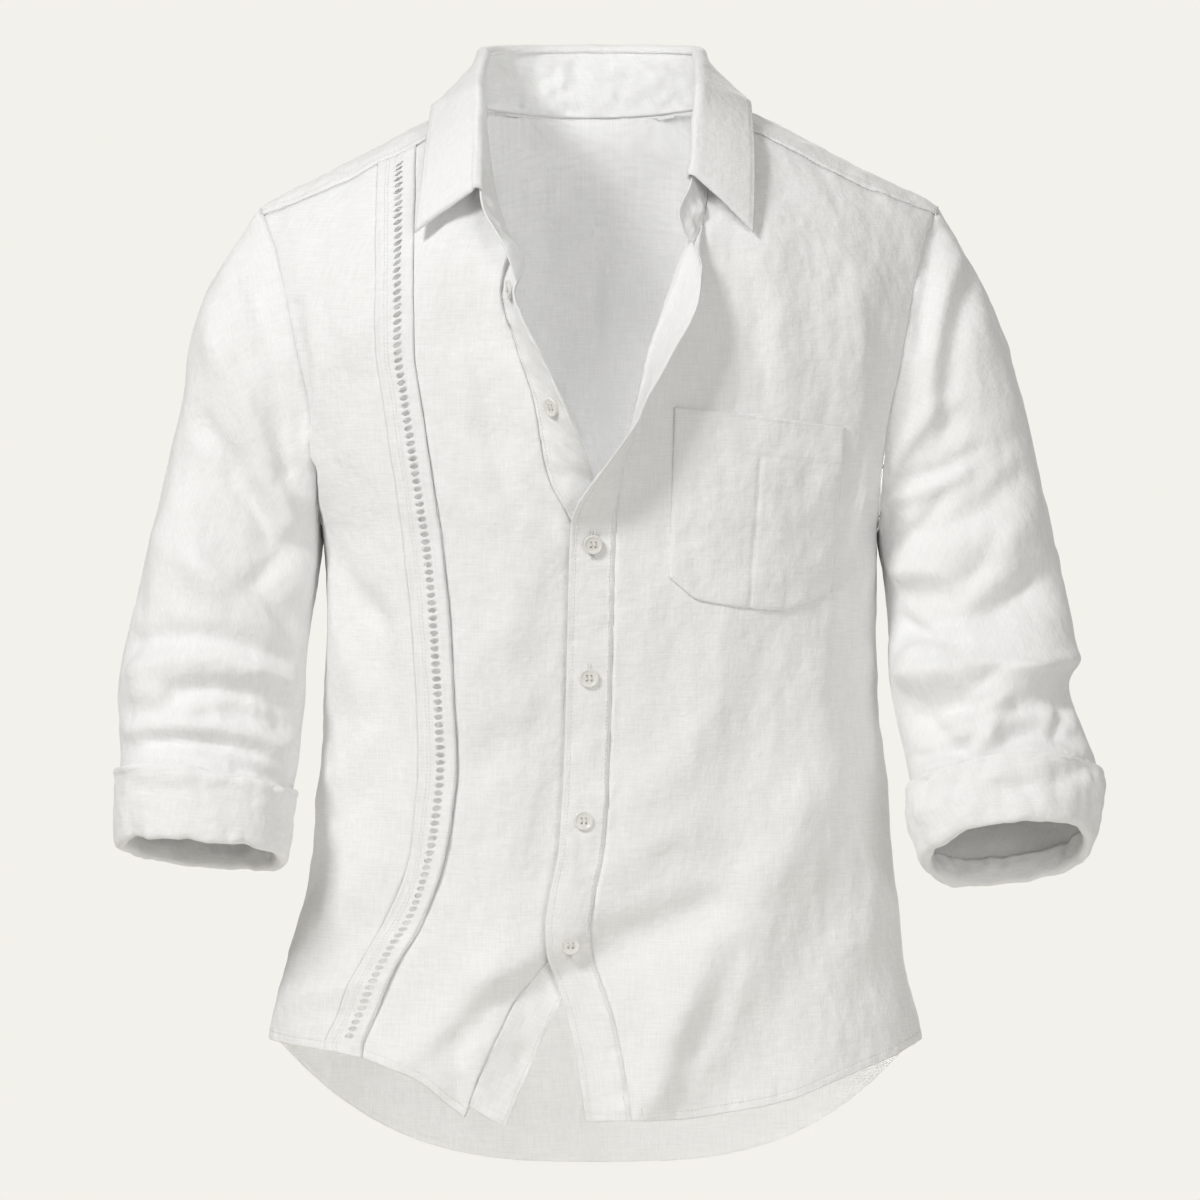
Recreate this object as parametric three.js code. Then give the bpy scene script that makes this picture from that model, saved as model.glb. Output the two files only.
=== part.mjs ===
// A button-up linen shirt, filled out as if worn, with rolled sleeves and a
// ladder-stitch strip down one front.
//
// Millimetres. +Z is up, -Y is the front, +X is the wearer's left. The origin is
// the centre of the neck base, level with the shoulder line where it meets the neck.
// Every panel is a grid of points on the garment's outer face, thickened inwards.
// Panels that share a seam share its points, and are then drawn back by half a gap.

import * as THREE from 'three';

// ---------------------------------------------------------------- sizes

const CLOTH = 1.5; // one layer of cloth with its turnings
const FOLDED = 2.2; // placket, collar and cuff layers
const SEAM_GAP = 0.4;
const NECK_GAP = 0.9; // at the neck seam, where thicker layers meet at sharp angles
// Cosine between two pieces' faces below which their seam counts as folded back.
const FOLDED_BACK = { neck: -0.3, other: 0.1 };
const CENTRE_X = 3; // the body stands a little to the wearer's left of the neck

const SECTION_POWER = 2.4; // how square the body's level sections are
const ARCH_HEIGHT = 150; // drop over which the shoulder rounds into the chest
const ARCH_POWER = 1.7;

const ARMPIT_Z = -294;
const SIDE_HEM_Z = -645; // where the side seams end
const STRIP_FOOT_Z = -690; // level at which the edge strips' places along the hem are read
const HEM_LEVEL = -650; // level at which the columns' places along the hem are read
const BACK_TAIL = 100; // how far the back tail drops below the side seams

const PLACKET_WIDTH = 31;
const ROLL_WIDTH = 8; // strip of the left front that turns over with the placket
const UNDERLAP = 4.5; // how far the right front lies behind the left one
const UNDERLAP_REACH = 45; // width over which it draws back
const UNDERLAP_TOP = -225; // level at which it starts, and the drop over which it sets in
const UNDERLAP_DROP = 37;

const TRIM_LEFT = 15; // ladder strip, from the line of holes to its outer edge
const TRIM_RIGHT = 11;
const HOLE_WIDTH = 6;
const HOLE_COUNT = 124;
const BAR_WIDTH = 1.4;

const BUTTON_SEGMENTS = 12;
const BUTTON_CLEARANCE = 0.5;
const SEAT_REACH = 7.5; // cloth this near a button's middle lies under it
const SEAT_STEPS = 6;

// Grid steps of the panels.
const LOW_ROWS = 13; // hem to armpit
const HIGH_ROWS = 11; // armpit to the front seam at the shoulder
const NECK_ROWS = 4; // those of them beside the neck seam
const ROOT_ROWS = HIGH_ROWS - NECK_ROWS;
const SIDE_COLUMNS = 4;
const INNER_COLUMNS = 5;
const TRIM_COLUMNS = 3;
const LEFT_COLUMNS = 12;
const BACK_COLUMNS = 16;
const SHOULDER_STEPS = 4;
const SLEEVE_STEPS = 2; // rows between two table rings
const STAND_ROWS = 3;

const RIGHT = -1; // the wearer's right, at negative X
const LEFT = 1;
const FRONT = -1;
const BACK = 1;

// Level sections of the body: half widths from CENTRE_X to each side, and depths.
const TORSO = [
  { z: -66, right: 249, left: 248, front: 118, back: 104 },
  { z: -123, right: 239, left: 238, front: 120, back: 106 },
  { z: -190, right: 225, left: 225, front: 122, back: 108 },
  { z: -250, right: 208, left: 208, front: 122, back: 108 },
  { z: -280, right: 196, left: 197, front: 121, back: 107 },
  { z: -294, right: 192.5, left: 193.5, front: 120, back: 106 },
  { z: -340, right: 190, left: 194, front: 117, back: 102 },
  { z: -395, right: 192, left: 194, front: 112, back: 98 },
  { z: -451, right: 195, left: 199, front: 107, back: 96 },
  { z: -507, right: 199, left: 204, front: 105, back: 98 },
  { z: -549, right: 207, left: 208, front: 104, back: 101 },
  { z: -591, right: 218, left: 214, front: 103, back: 104 },
  { z: -647, right: 230, left: 224.5, front: 102, back: 107 },
  { z: -760, right: 237, left: 232, front: 102, back: 110 },
];

// Height of the shoulder ridge by distance out from the centre.
const RIDGE = [
  { out: 0, z: 15 },
  { out: 80, z: 13 },
  { out: 100, z: 8 },
  { out: 127, z: -3.5 },
  { out: 182, z: -31.5 },
  { out: 208, z: -45.5 },
  { out: 238, z: -65 },
];

// Armhole seam, as distance out from the centre.
const ARMHOLE = [
  { z: -65, out: 237 },
  { z: -90, out: 227 },
  { z: -125, out: 217.5 },
  { z: -183, out: 206 },
  { z: -222, out: 198.5 },
  { z: -255, out: 195 },
  { z: -294, out: 194 },
];
const ARMHOLE_FRONT_TOP = -71; // where the front shoulder seam meets the armhole
const ARMHOLE_BACK_TOP = -96; // level at which the back's two patches join at the armhole
const PANEL_EASE = 0.4; // share of a front's width that keeps to the plain body beside the neck
const STRIP_EASE = 0.7; // the same on the edge strips, up their length
const ARMHOLE_EASE = 1.35; // closes up the rows where the armhole turns at the armpit

// Front shoulder seam, as height by distance out from the centre.
const SHOULDER_SEAM = [
  { out: 78, z: -6 },
  { out: 105, z: -15 },
  { out: 142, z: -32 },
  { out: 182, z: -52 },
  { out: 234.5, z: -71 },
];

// Line across the back where its lower patch joins the one over the shoulders.
const BACK_JOIN = [
  { out: 0, z: -80 },
  { out: 120, z: -83 },
  { out: 226, z: -96 },
];

const HEM_RIGHT = [
  { x: -227, z: -645 },
  { x: -171, z: -650 },
  { x: -131, z: -661 },
  { x: -112, z: -669 },
  { x: -90, z: -683 },
  { x: -60, z: -697.5 },
];

const HEM_LEFT = [
  { x: -5, z: -694 },
  { x: 25, z: -693 },
  { x: 51, z: -693 },
  { x: 84, z: -689 },
  { x: 124, z: -682 },
  { x: 167, z: -667 },
  { x: 207, z: -653 },
  { x: 227.5, z: -645 },
];

// Line of holes of the ladder strip.
const LADDER = [
  { z: -30, x: -134.7 },
  { z: -135, x: -134.5 },
  { z: -170, x: -134 },
  { z: -204, x: -129 },
  { z: -299, x: -115.5 },
  { z: -353, x: -110 },
  { z: -407, x: -106.7 },
  { z: -448, x: -105.3 },
  { z: -489, x: -108.7 },
  { z: -523, x: -115.5 },
  { z: -557, x: -129 },
  { z: -591, x: -147.5 },
  { z: -642, x: -170 },
];

// Left front edge: x of the roll line, and the turn of the edge out of the front.
const EDGE_LEFT = [
  { z: -694, root: 33, turn: 0 },
  { z: -652, root: 27, turn: 0 },
  { z: -624, root: 21, turn: 0 },
  { z: -601, root: 13.5, turn: 0 },
  { z: -580, root: 6.5, turn: 0 },
  { z: -562, root: 5.5, turn: 0 },
  { z: -538, root: 8.8, turn: 0 },
  { z: -511, root: 14.2, turn: 0 },
  { z: -463, root: 17.5, turn: 0 },
  { z: -300, root: 22, turn: 0 },
  { z: -287, root: 22.5, turn: 10 },
  { z: -258, root: 25.5, turn: 55 },
  { z: -224, root: 32, turn: 88 },
  { z: -170, root: 43, turn: 114 },
  { z: -136, root: 52, turn: 137 },
  { z: -116, root: 58, turn: 140 },
  { z: -72, root: 72, turn: 140 },
];
const LEFT_TURN_LENGTH = 10; // cloth taken up by the roll

// Right front edge: x of the strip's sewn edge, and the cloth's turn out of the
// front at five places across the strip, from near the seam to the free edge.
const EDGE_RIGHT = [
  { z: -698, root: -91.5, a: 0, b: 0, c: 0, d: 0, e: 0 },
  { z: -669, root: -80.6, a: 0, b: 0, c: 0, d: 0, e: 0 },
  { z: -631, root: -63.5, a: 0, b: 0, c: 0, d: 0, e: 0 },
  { z: -613, root: -54.7, a: 0, b: 0, c: 0, d: 0, e: 0 },
  { z: -590, root: -36, a: 0, b: 0, c: 0, d: 0, e: 0 },
  { z: -560, root: -13, a: 0, b: 0, c: 0, d: 0, e: 0 },
  { z: -300, root: -13, a: 0, b: 0, c: 0, d: 0, e: 0 },
  { z: -258, root: -31, a: 0, b: 0, c: 0, d: 0, e: 0 },
  { z: -246, root: -34.5, a: 8, b: 14, c: 16, d: 16, e: 16 },
  { z: -204, root: -42, a: 30, b: 52, c: 56, d: 56, e: 56 },
  { z: -170, root: -53.5, a: 40, b: 62, c: 66, d: 68, e: 68 },
  { z: -129, root: -65, a: 45, b: 78, c: 82, d: 86, e: 90 },
  { z: -93, root: -58, a: 45, b: 65, c: 75, d: 80, e: 80 },
];
const RIGHT_STRIP_STEPS = [0, 6, 12, 18, 24, PLACKET_WIDTH];
const LEFT_ROLL_STEPS = [0, 4, ROLL_WIDTH];
const LEFT_PLACKET_STEPS = [0, 10, 21, PLACKET_WIDTH];

// Neck seam, in three stretches: right front edge to shoulder seam, round the back,
// and shoulder seam to left front edge. Each has the stand's top edge and the leaf's edge beside it.
const NECK_RIGHT = [
  { x: -54, y: -131, z: -125, topX: -56, topY: -134, topZ: -120 },
  { x: -49, y: -115, z: -108, topX: -65, topY: -130, topZ: -95 },
  { x: -59, y: -101, z: -92, topX: -73, topY: -121, topZ: -79 },
  { x: -67, y: -90, z: -68, topX: -77.5, topY: -108, topZ: -62 },
  { x: -73, y: -71, z: -36, topX: -79, topY: -92, topZ: -26 },
  { x: -76, y: -47.5, z: -6, topX: -79, topY: -66, topZ: 10 },
];
const NECK_BACK = [
  { x: -76, y: -47.5, z: -6, topX: -79, topY: -66, topZ: 10 },
  { x: -79, y: 0, z: 11, topX: -77, topY: -12, topZ: 36 },
  { x: -77, y: 42, z: 8.5, topX: -73, topY: 45, topZ: 47.5 },
  { x: -45, y: 72, z: 6.5, topX: -45, topY: 76, topZ: 52 },
  { x: -2, y: 79, z: 5.5, topX: -2, topY: 84, topZ: 53 },
  { x: 41, y: 72, z: 6.5, topX: 41, topY: 76, topZ: 52 },
  { x: 73, y: 42, z: 8.5, topX: 70, topY: 45, topZ: 47.5 },
  { x: 80, y: 0, z: 10, topX: 72, topY: -12, topZ: 36 },
  { x: 82, y: -47.5, z: -6, topX: 71, topY: -64, topZ: 10 },
];
const NECK_LEFT = [
  { x: 82, y: -47.5, z: -6, topX: 71, topY: -64, topZ: 10 },
  { x: 80, y: -70, z: -36, topX: 68.5, topY: -90, topZ: -26 },
  { x: 77, y: -90, z: -64, topX: 64.5, topY: -107, topZ: -58 },
  { x: 73, y: -106, z: -84, topX: 56.5, topY: -118, topZ: -77 },
  { x: 67, y: -118, z: -99, topX: 60, topY: -120, topZ: -91 },
];

// Free edge of the collar leaf, from the right point round to the left point.
const LEAF_RIGHT = [
  { x: -122, y: -104, z: -90 },
  { x: -118, y: -86, z: -55 },
  { x: -116, y: -57, z: -24 },
  { x: -113, y: -24, z: 4 },
];
const LEAF_BACK = [
  { x: -113, y: -24, z: 4 },
  { x: -108, y: 18, z: 9 },
  { x: -92, y: 58, z: 3 },
  { x: -48, y: 88, z: -3 },
  { x: -2, y: 95, z: -4 },
  { x: 44, y: 88, z: -3 },
  { x: 88, y: 58, z: 3 },
  { x: 105, y: 18, z: 11 },
  { x: 108, y: -24, z: 7 },
];
const LEAF_LEFT = [
  { x: 108, y: -24, z: 7 },
  { x: 109, y: -60, z: -16 },
  { x: 109, y: -90, z: -54 },
  { x: 107.5, y: -106, z: -90 },
];
const LEAF_FALL_STEPS = [0.3, 0.65, 1];
const LEAF_BULGE = 1.5;

// Sleeve sections from the cap to the rolled end: outer and inner points seen from
// the front, forward place, half depth, and tilt of the section's front edge upwards.
const SLEEVE_RIGHT = [
  { outX: -272, outZ: -126, inX: -191.5, inZ: -306, y: -6, half: 57, tilt: 0 },
  { outX: -288, outZ: -200, inX: -194, inZ: -323, y: -10, half: 56, tilt: 0 },
  { outX: -303, outZ: -270, inX: -196.5, inZ: -347, y: -16, half: 55, tilt: 2 },
  { outX: -318, outZ: -336, inX: -200, inZ: -374, y: -26, half: 54, tilt: 5 },
  { outX: -329, outZ: -395, inX: -202, inZ: -409, y: -40, half: 53, tilt: 10 },
  { outX: -327, outZ: -440, inX: -206, inZ: -455, y: -54, half: 51, tilt: 13 },
  { outX: -325, outZ: -475, inX: -212, inZ: -487, y: -65, half: 50, tilt: 14 },
  { outX: -324, outZ: -505, inX: -215, inZ: -514, y: -75, half: 50, tilt: 14 },
];
const SLEEVE_LEFT = [
  { outX: 272, outZ: -123, inX: 198.5, inZ: -306, y: -6, half: 57, tilt: 0 },
  { outX: 294.5, outZ: -189, inX: 201.5, inZ: -322, y: -10, half: 56, tilt: 0 },
  { outX: 310, outZ: -256, inX: 203, inZ: -347, y: -18, half: 55, tilt: 3 },
  { outX: 323, outZ: -319, inX: 203, inZ: -378, y: -30, half: 54, tilt: 8 },
  { outX: 331, outZ: -374, inX: 207, inZ: -409, y: -48, half: 53, tilt: 16 },
  { outX: 326, outZ: -405, inX: 211, inZ: -431, y: -58, half: 52.5, tilt: 20 },
  { outX: 337, outZ: -436, inX: 215, inZ: -458, y: -72, half: 52, tilt: 24 },
  { outX: 344, outZ: -466, inX: 217, inZ: -484, y: -86, half: 51, tilt: 27 },
  { outX: 336, outZ: -503, inX: 226, inZ: -514, y: -101, half: 49, tilt: 29 },
];
const SLEEVE_POWER = 2.3;

// Section of the turned-back cuff: height above the sleeve's end, and distance out
// from the sleeve's outer face. It runs round the sleeve's end like a hook.
const CUFF_SECTION = [
  { up: 46, out: 4 },
  { up: 30, out: 5 },
  { up: 8, out: 4.8 },
  { up: -2, out: 3.8 },
  { up: -5, out: 0.5 },
  { up: -3.5, out: -3 },
  { up: 3, out: -4.8 },
  { up: 14, out: -5 },
  { up: 14, out: -3 },
  { up: 4, out: -2.8 },
  { up: -2, out: -1 },
  { up: -2, out: 0.8 },
  { up: 6, out: 2 },
  { up: 28, out: 2 },
  { up: 46, out: 1.4 },
];

// Breast pocket on the left front, as seen from the front.
const POCKET = { innerTop: 53.7, innerFoot: 50, outerTop: 170.5, outerFoot: 162 };
const POCKET_TOP = { inner: -209, outer: -222 };
const POCKET_FOOT = [
  { along: 0, z: -324.5 },
  { along: 0.2, z: -340.5 },
  { along: 0.7, z: -347 },
  { along: 0.8, z: -343.5 },
  { along: 1, z: -334 },
];
const POCKET_WALL = 1.3;
const POCKET_CLEARANCE = 1.4;
const POCKET_COLUMNS = 8;
const POCKET_ROWS = 8;

// Buttons by level: two on the right front's strip, four on the left placket.
const BUTTONS = [
  { z: -130, side: RIGHT, across: 18 },
  { z: -209, side: RIGHT, across: 17.5 },
  { z: -301.7, side: LEFT, across: PLACKET_WIDTH / 2 },
  { z: -392.3, side: LEFT, across: PLACKET_WIDTH / 2 },
  { z: -489.3, side: LEFT, across: PLACKET_WIDTH / 2 },
  { z: -573.7, side: LEFT, across: PLACKET_WIDTH / 2 },
];

// Half section of a button from the middle of its back, with a raised rim.
const BUTTON_PROFILE = [
  { radius: 0, height: 0 },
  { radius: 6.1, height: 0 },
  { radius: 6.5, height: 0.6 },
  { radius: 6.5, height: 1.8 },
  { radius: 6, height: 2.2 },
  { radius: 5, height: 2.2 },
  { radius: 4.4, height: 1.5 },
  { radius: 0, height: 1.5 },
];

// Main folds, each along a line seen from the front or the back. A positive depth
// is a ridge and a negative one a trough.
const FOLDS = [
  { face: FRONT, x1: 128, z1: -520, x2: 40, z2: -660, width: 27, depth: 7 },
  { face: FRONT, x1: 140, z1: -590, x2: 92, z2: -680, width: 26, depth: -5 },
  { face: FRONT, x1: 98, z1: -545, x2: 26, z2: -575, width: 24, depth: -5 },
  { face: FRONT, x1: -36, z1: -560, x2: -104, z2: -650, width: 25, depth: 6 },
  { face: FRONT, x1: -10, z1: -600, x2: -70, z2: -680, width: 24, depth: -4 },
  { face: FRONT, x1: -276, z1: -256, x2: -212, z2: -366, width: 18, depth: -6 },
  { face: FRONT, x1: -300, z1: -300, x2: -222, z2: -352, width: 16, depth: 4 },
  { face: FRONT, x1: -320, z1: -412, x2: -216, z2: -424, width: 15, depth: -5 },
  { face: FRONT, x1: 215, z1: -352, x2: 290, z2: -334, width: 17, depth: -6 },
  { face: FRONT, x1: 206, z1: -312, x2: 262, z2: -292, width: 16, depth: 5 },
  { face: FRONT, x1: 218, z1: -384, x2: 316, z2: -378, width: 16, depth: 5 },
  { face: FRONT, x1: 218, z1: -416, x2: 318, z2: -406, width: 14, depth: -5 },
  { face: BACK, x1: -150, z1: -330, x2: -60, z2: -470, width: 28, depth: -4 },
  { face: BACK, x1: 165, z1: -320, x2: 70, z2: -450, width: 27, depth: -5 },
  { face: BACK, x1: -60, z1: -520, x2: -110, z2: -680, width: 30, depth: 6 },
  { face: BACK, x1: 40, z1: -490, x2: 95, z2: -660, width: 32, depth: 6 },
  { face: BACK, x1: -300, z1: -330, x2: -216, z2: -386, width: 17, depth: -5 },
  { face: BACK, x1: -316, z1: -410, x2: -220, z2: -420, width: 15, depth: 4 },
  { face: BACK, x1: 308, z1: -306, x2: 216, z2: -372, width: 18, depth: -5 },
  { face: BACK, x1: 314, z1: -398, x2: 220, z2: -412, width: 14, depth: 4 },
];

const FOLD_ENDING = 1.5; // length over which a fold dies out past its ends, in widths
const FOLD_FACING = 1.6; // how soon a fold dies out where the cloth turns to the side

// ---------------------------------------------------------------- small helpers

const clamp = (value, low = 0, high = 1) => Math.min(high, Math.max(low, value));
const lerp = (a, b, t) => a + (b - a) * t;
const smooth = (t) => clamp(t) ** 2 * (3 - 2 * clamp(t));
const signedPower = (value, power) => Math.sign(value) * Math.abs(value) ** power;
const radians = THREE.MathUtils.degToRad;
const steps = (count) => Array.from({ length: count + 1 }, (_, i) => i / count);

// A smooth curve through one column of a table, against another of its columns.
function track(rows, along, column) {
  const sorted = [...rows].sort((p, q) => p[along] - q[along]);
  const xs = sorted.map((row) => row[along]);
  const ys = sorted.map((row) => row[column]);
  const last = xs.length - 1;
  const chords = xs.slice(1).map((x, i) => (ys[i + 1] - ys[i]) / (x - xs[i]));
  const slopes = xs.map((_, i) => {
    if (i === 0 || i === last) return chords[i === 0 ? 0 : last - 1];
    const before = chords[i - 1];
    const after = chords[i];
    return before * after <= 0 ? 0 : (2 * before * after) / (before + after);
  });
  return (at) => {
    const x = clamp(at, xs[0], xs[last]);
    let i = 0;
    while (i < last - 1 && x > xs[i + 1]) i += 1;
    const width = xs[i + 1] - xs[i];
    const t = (x - xs[i]) / width;
    const rise = ys[i + 1] - ys[i];
    const start = slopes[i] * width - rise;
    const end = -slopes[i + 1] * width + rise;
    return ys[i] + rise * t + t * (1 - t) * ((1 - t) * start + t * end);
  };
}

function curveThrough(rows, x, y, z) {
  const points = rows.map((row) => new THREE.Vector3(row[x], row[y], row[z]));
  return new THREE.CatmullRomCurve3(points, false, 'centripetal');
}

// Points on a curve at the given fractions of its length.
const along = (curve, fractions) => fractions.map((t) => curve.getPointAt(clamp(t)));

// A patch between four edges, each a list of points; corners are shared.
function coons(foot, top, left, right) {
  const columns = foot.length - 1;
  const rows = left.length - 1;
  return left.map((_, r) => foot.map((__, c) => {
    const u = c / columns;
    const v = r / rows;
    const point = new THREE.Vector3();
    point.addScaledVector(foot[c], 1 - v).addScaledVector(top[c], v);
    point.addScaledVector(left[r], 1 - u).addScaledVector(right[r], u);
    point.addScaledVector(foot[0], -(1 - u) * (1 - v));
    point.addScaledVector(foot[columns], -u * (1 - v));
    point.addScaledVector(top[0], -(1 - u) * v);
    return point.addScaledVector(top[columns], -u * v);
  }));
}

// ---------------------------------------------------------------- body surface

const halfRight = track(TORSO, 'z', 'right');
const halfLeft = track(TORSO, 'z', 'left');
const depthFront = track(TORSO, 'z', 'front');
const depthBack = track(TORSO, 'z', 'back');
const ridge = track(RIDGE, 'out', 'z');
const armholeOut = track(ARMHOLE, 'z', 'out');
const shoulderSeam = track(SHOULDER_SEAM, 'out', 'z');
const backJoin = track(BACK_JOIN, 'out', 'z');
const hemRight = track(HEM_RIGHT, 'x', 'z');
const hemLeft = track(HEM_LEFT, 'x', 'z');
const ladderX = track(LADDER, 'z', 'x');
const rootLeft = track(EDGE_LEFT, 'z', 'root');
const turnLeft = track(EDGE_LEFT, 'z', 'turn');
const rootRight = track(EDGE_RIGHT, 'z', 'root');
const turnsRight = ['a', 'b', 'c', 'd', 'e'].map((column) => track(EDGE_RIGHT, 'z', column));

const halfWidth = (side, z) => (side === RIGHT ? halfRight(z) : halfLeft(z));
const outOf = (x) => Math.abs(x - CENTRE_X);
const sideOf = (x) => (x < CENTRE_X ? RIGHT : LEFT);

// Share of the full depth that a level section has at x.
function sectionShare(x, z) {
  const share = clamp(outOf(x) / halfWidth(sideOf(x), z));
  return (1 - share ** SECTION_POWER) ** (1 / SECTION_POWER);
}

// Share of the full depth reached at z below the shoulder ridge.
function archShare(x, z) {
  const drop = clamp((ridge(outOf(x)) - z) / ARCH_HEIGHT);
  return (1 - (1 - drop) ** ARCH_POWER) ** (1 / ARCH_POWER);
}

function bodyPoint(face, x, z) {
  const depth = face === FRONT ? depthFront(z) : depthBack(z);
  return new THREE.Vector3(x, face * depth * sectionShare(x, z) * archShare(x, z), z);
}

// Height of the shoulders over a point of the plan.
function shoulderHeight(x, y) {
  const level = TORSO[0].z;
  const depth = (y < 0 ? depthFront(level) : depthBack(level)) * sectionShare(x, level);
  const share = clamp(Math.abs(y) / Math.max(depth, 1));
  const drop = 1 - (1 - share ** ARCH_POWER) ** (1 / ARCH_POWER);
  return ridge(outOf(x)) - ARCH_HEIGHT * drop;
}

const leftFreeEdge = (z) => rootLeft(z) - ROLL_WIDTH - PLACKET_WIDTH;

// The right front draws back behind the left one where they overlap.
function underlap(x, z) {
  const reach = smooth((x - leftFreeEdge(z) + UNDERLAP_REACH) / UNDERLAP_REACH);
  return UNDERLAP * reach * smooth((UNDERLAP_TOP - z) / UNDERLAP_DROP);
}

function frontPoint(side, x, z) {
  const point = bodyPoint(FRONT, x, z);
  if (side === RIGHT) point.y += underlap(x, z);
  return point;
}

// Place round a level section, from 0 at the side seam to 90 degrees at the centre.
const angleAt = (side, x, z) => {
  const share = clamp((side * (x - CENTRE_X)) / halfWidth(side, z));
  return Math.acos(share ** (SECTION_POWER / 2));
};
const xAtAngle = (side, angle, z) => {
  const share = signedPower(Math.cos(angle), 2 / SECTION_POWER);
  return CENTRE_X + side * halfWidth(share < 0 ? -side : side, z) * share;
};

// x of a column that divides the section between two lines by its angle.
function columnX(side, z, fromX, toX, share) {
  const angle = lerp(angleAt(side, fromX, z), angleAt(side, toX, z), share);
  return xAtAngle(side, angle, z);
}

// A point on the edge strip of a front, `across` along the cloth from its root.
function stripPoint(side, z, across) {
  const root = side === LEFT ? rootLeft(z) : rootRight(z);
  const start = frontPoint(side, root, z);
  const next = frontPoint(side, root - side, z);
  const inward = next.sub(start).setZ(0).normalize();
  const outward = new THREE.Vector3(side * inward.y, -side * inward.x, 0);
  if (outward.y > 0) outward.negate();
  const count = Math.max(1, Math.ceil(across / 2));
  const stride = across / count;
  const point = start;
  for (let i = 0; i < count; i += 1) {
    const turn = radians(stripTurn(side, z, (i + 0.5) * stride));
    point.addScaledVector(inward, Math.cos(turn) * stride);
    point.addScaledVector(outward, Math.sin(turn) * stride);
  }
  return point;
}

function stripTurn(side, z, across) {
  if (side === LEFT) return turnLeft(z) * smooth(across / LEFT_TURN_LENGTH);
  const last = RIGHT_STRIP_STEPS.length - 1;
  let i = 0;
  while (i < last - 1 && across > RIGHT_STRIP_STEPS[i + 1]) i += 1;
  const from = i === 0 ? 0 : turnsRight[i - 1](z);
  const width = RIGHT_STRIP_STEPS[i + 1] - RIGHT_STRIP_STEPS[i];
  return lerp(from, turnsRight[i](z), (across - RIGHT_STRIP_STEPS[i]) / width);
}

// ---------------------------------------------------------------- panel grids
// A panel is { rows, wall, flip, closed }: rows of points on its outer face.

const panels = {};
const addPanel = (name, rows, wall, options = {}) => {
  panels[name] = { piece: name, rows, wall, flip: false, closed: false, ...options };
  return rows;
};
const column = (rows, c) => rows.map((row) => row.at(c));

const neckRight = curveThrough(NECK_RIGHT, 'x', 'y', 'z');
const neckBack = curveThrough(NECK_BACK, 'x', 'y', 'z');
const neckLeft = curveThrough(NECK_LEFT, 'x', 'y', 'z');
const RIGHT_STRIP_SHARE = 0.27; // of the right neck seam that belongs to the edge strip
const LEFT_STRIP_SHARE = 0.36; // of the left neck seam that belongs to roll and placket

const neckRightShares = [
  ...RIGHT_STRIP_STEPS.map((s) => (1 - s / PLACKET_WIDTH) * RIGHT_STRIP_SHARE).reverse(),
  ...steps(NECK_ROWS).slice(1).map((t) => lerp(RIGHT_STRIP_SHARE, 1, t)),
];
const leftStripSteps = [
  ...LEFT_ROLL_STEPS,
  ...LEFT_PLACKET_STEPS.slice(1).map((s) => s + ROLL_WIDTH),
];
const leftStripWidth = ROLL_WIDTH + PLACKET_WIDTH;
const neckLeftShares = [
  ...steps(NECK_ROWS).map((t) => t * (1 - LEFT_STRIP_SHARE)),
  ...leftStripSteps.slice(1).map((s) => 1 - LEFT_STRIP_SHARE * (1 - s / leftStripWidth)),
];
const neckRightPoints = along(neckRight, neckRightShares);
const neckLeftPoints = along(neckLeft, neckLeftShares);
const neckBackColumns = 2 * SHOULDER_STEPS + BACK_COLUMNS;
const neckBackPoints = along(neckBack, steps(neckBackColumns));

// Rows of a front panel below the armpit, between two lines on its surface.
function lowRows(side, hem, fromX, toX, shares) {
  return steps(LOW_ROWS).slice(0, -1).map((t) => shares.map((share) => {
    const hemZ = hem(columnX(side, HEM_LEVEL, fromX(HEM_LEVEL), toX(HEM_LEVEL), share));
    const z = lerp(hemZ, ARMPIT_Z, t);
    return frontPoint(side, columnX(side, z, fromX(z), toX(z), share), z);
  }));
}

const armholeX = (side, z) => CENTRE_X + side * Math.min(armholeOut(z), halfWidth(side, z));

function armholeEdge(side, face) {
  const top = face === FRONT ? ARMHOLE_FRONT_TOP : ARMHOLE_BACK_TOP;
  return steps(HIGH_ROWS).map((t) => {
    const z = lerp(ARMPIT_Z, top, t ** ARMHOLE_EASE);
    return bodyPoint(face, armholeX(side, z), z);
  });
}

const onShoulderSeam = (side, x) => frontPoint(side, x, shoulderSeam(outOf(x)));

// A line up a front, from the armpit level to its top point.
function frontLine(side, lineX, topPoint, rows) {
  return steps(rows).map((t) => {
    if (t === 1) return topPoint.clone();
    const z = lerp(ARMPIT_Z, topPoint.z, t);
    const x = lineX(z) + (topPoint.x - lineX(topPoint.z)) * t ** 3;
    return frontPoint(side, x, z);
  });
}

// The inner edge of a front: up its edge strip's root, then along the neck seam.
function innerEdge(side, lineX, neckPoints) {
  const root = frontLine(side, lineX, neckPoints[0], ROOT_ROWS);
  return [...root, ...neckPoints.slice(1).map((p) => p.clone())];
}

// Rows of a front above the armpit, between four edges; only its inner edge
// leaves the plain body.
function highRows(side, left, right, foot, top) {
  return coons(foot, top, left, right).map((row, r, all) => {
    const end = row.length - 1;
    const plain = row.map((p) => frontPoint(side, p.x, p.z));
    const shift = right[r].clone().sub(plain[end]);
    return plain.map((point, c) => {
      if (r === 0) return foot[c].clone();
      if (r === all.length - 1) return top[c].clone();
      if (c === 0) return left[r].clone();
      if (c === end) return right[r].clone();
      return point.addScaledVector(shift, clamp((c / end - PANEL_EASE) / (1 - PANEL_EASE)) ** 2);
    });
  });
}

const sideSeam = (side) => (z) => CENTRE_X + side * halfWidth(side, z);
const trimLeft = (z) => ladderX(z) - TRIM_LEFT;
const trimRight = (z) => ladderX(z) + TRIM_RIGHT;

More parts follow.
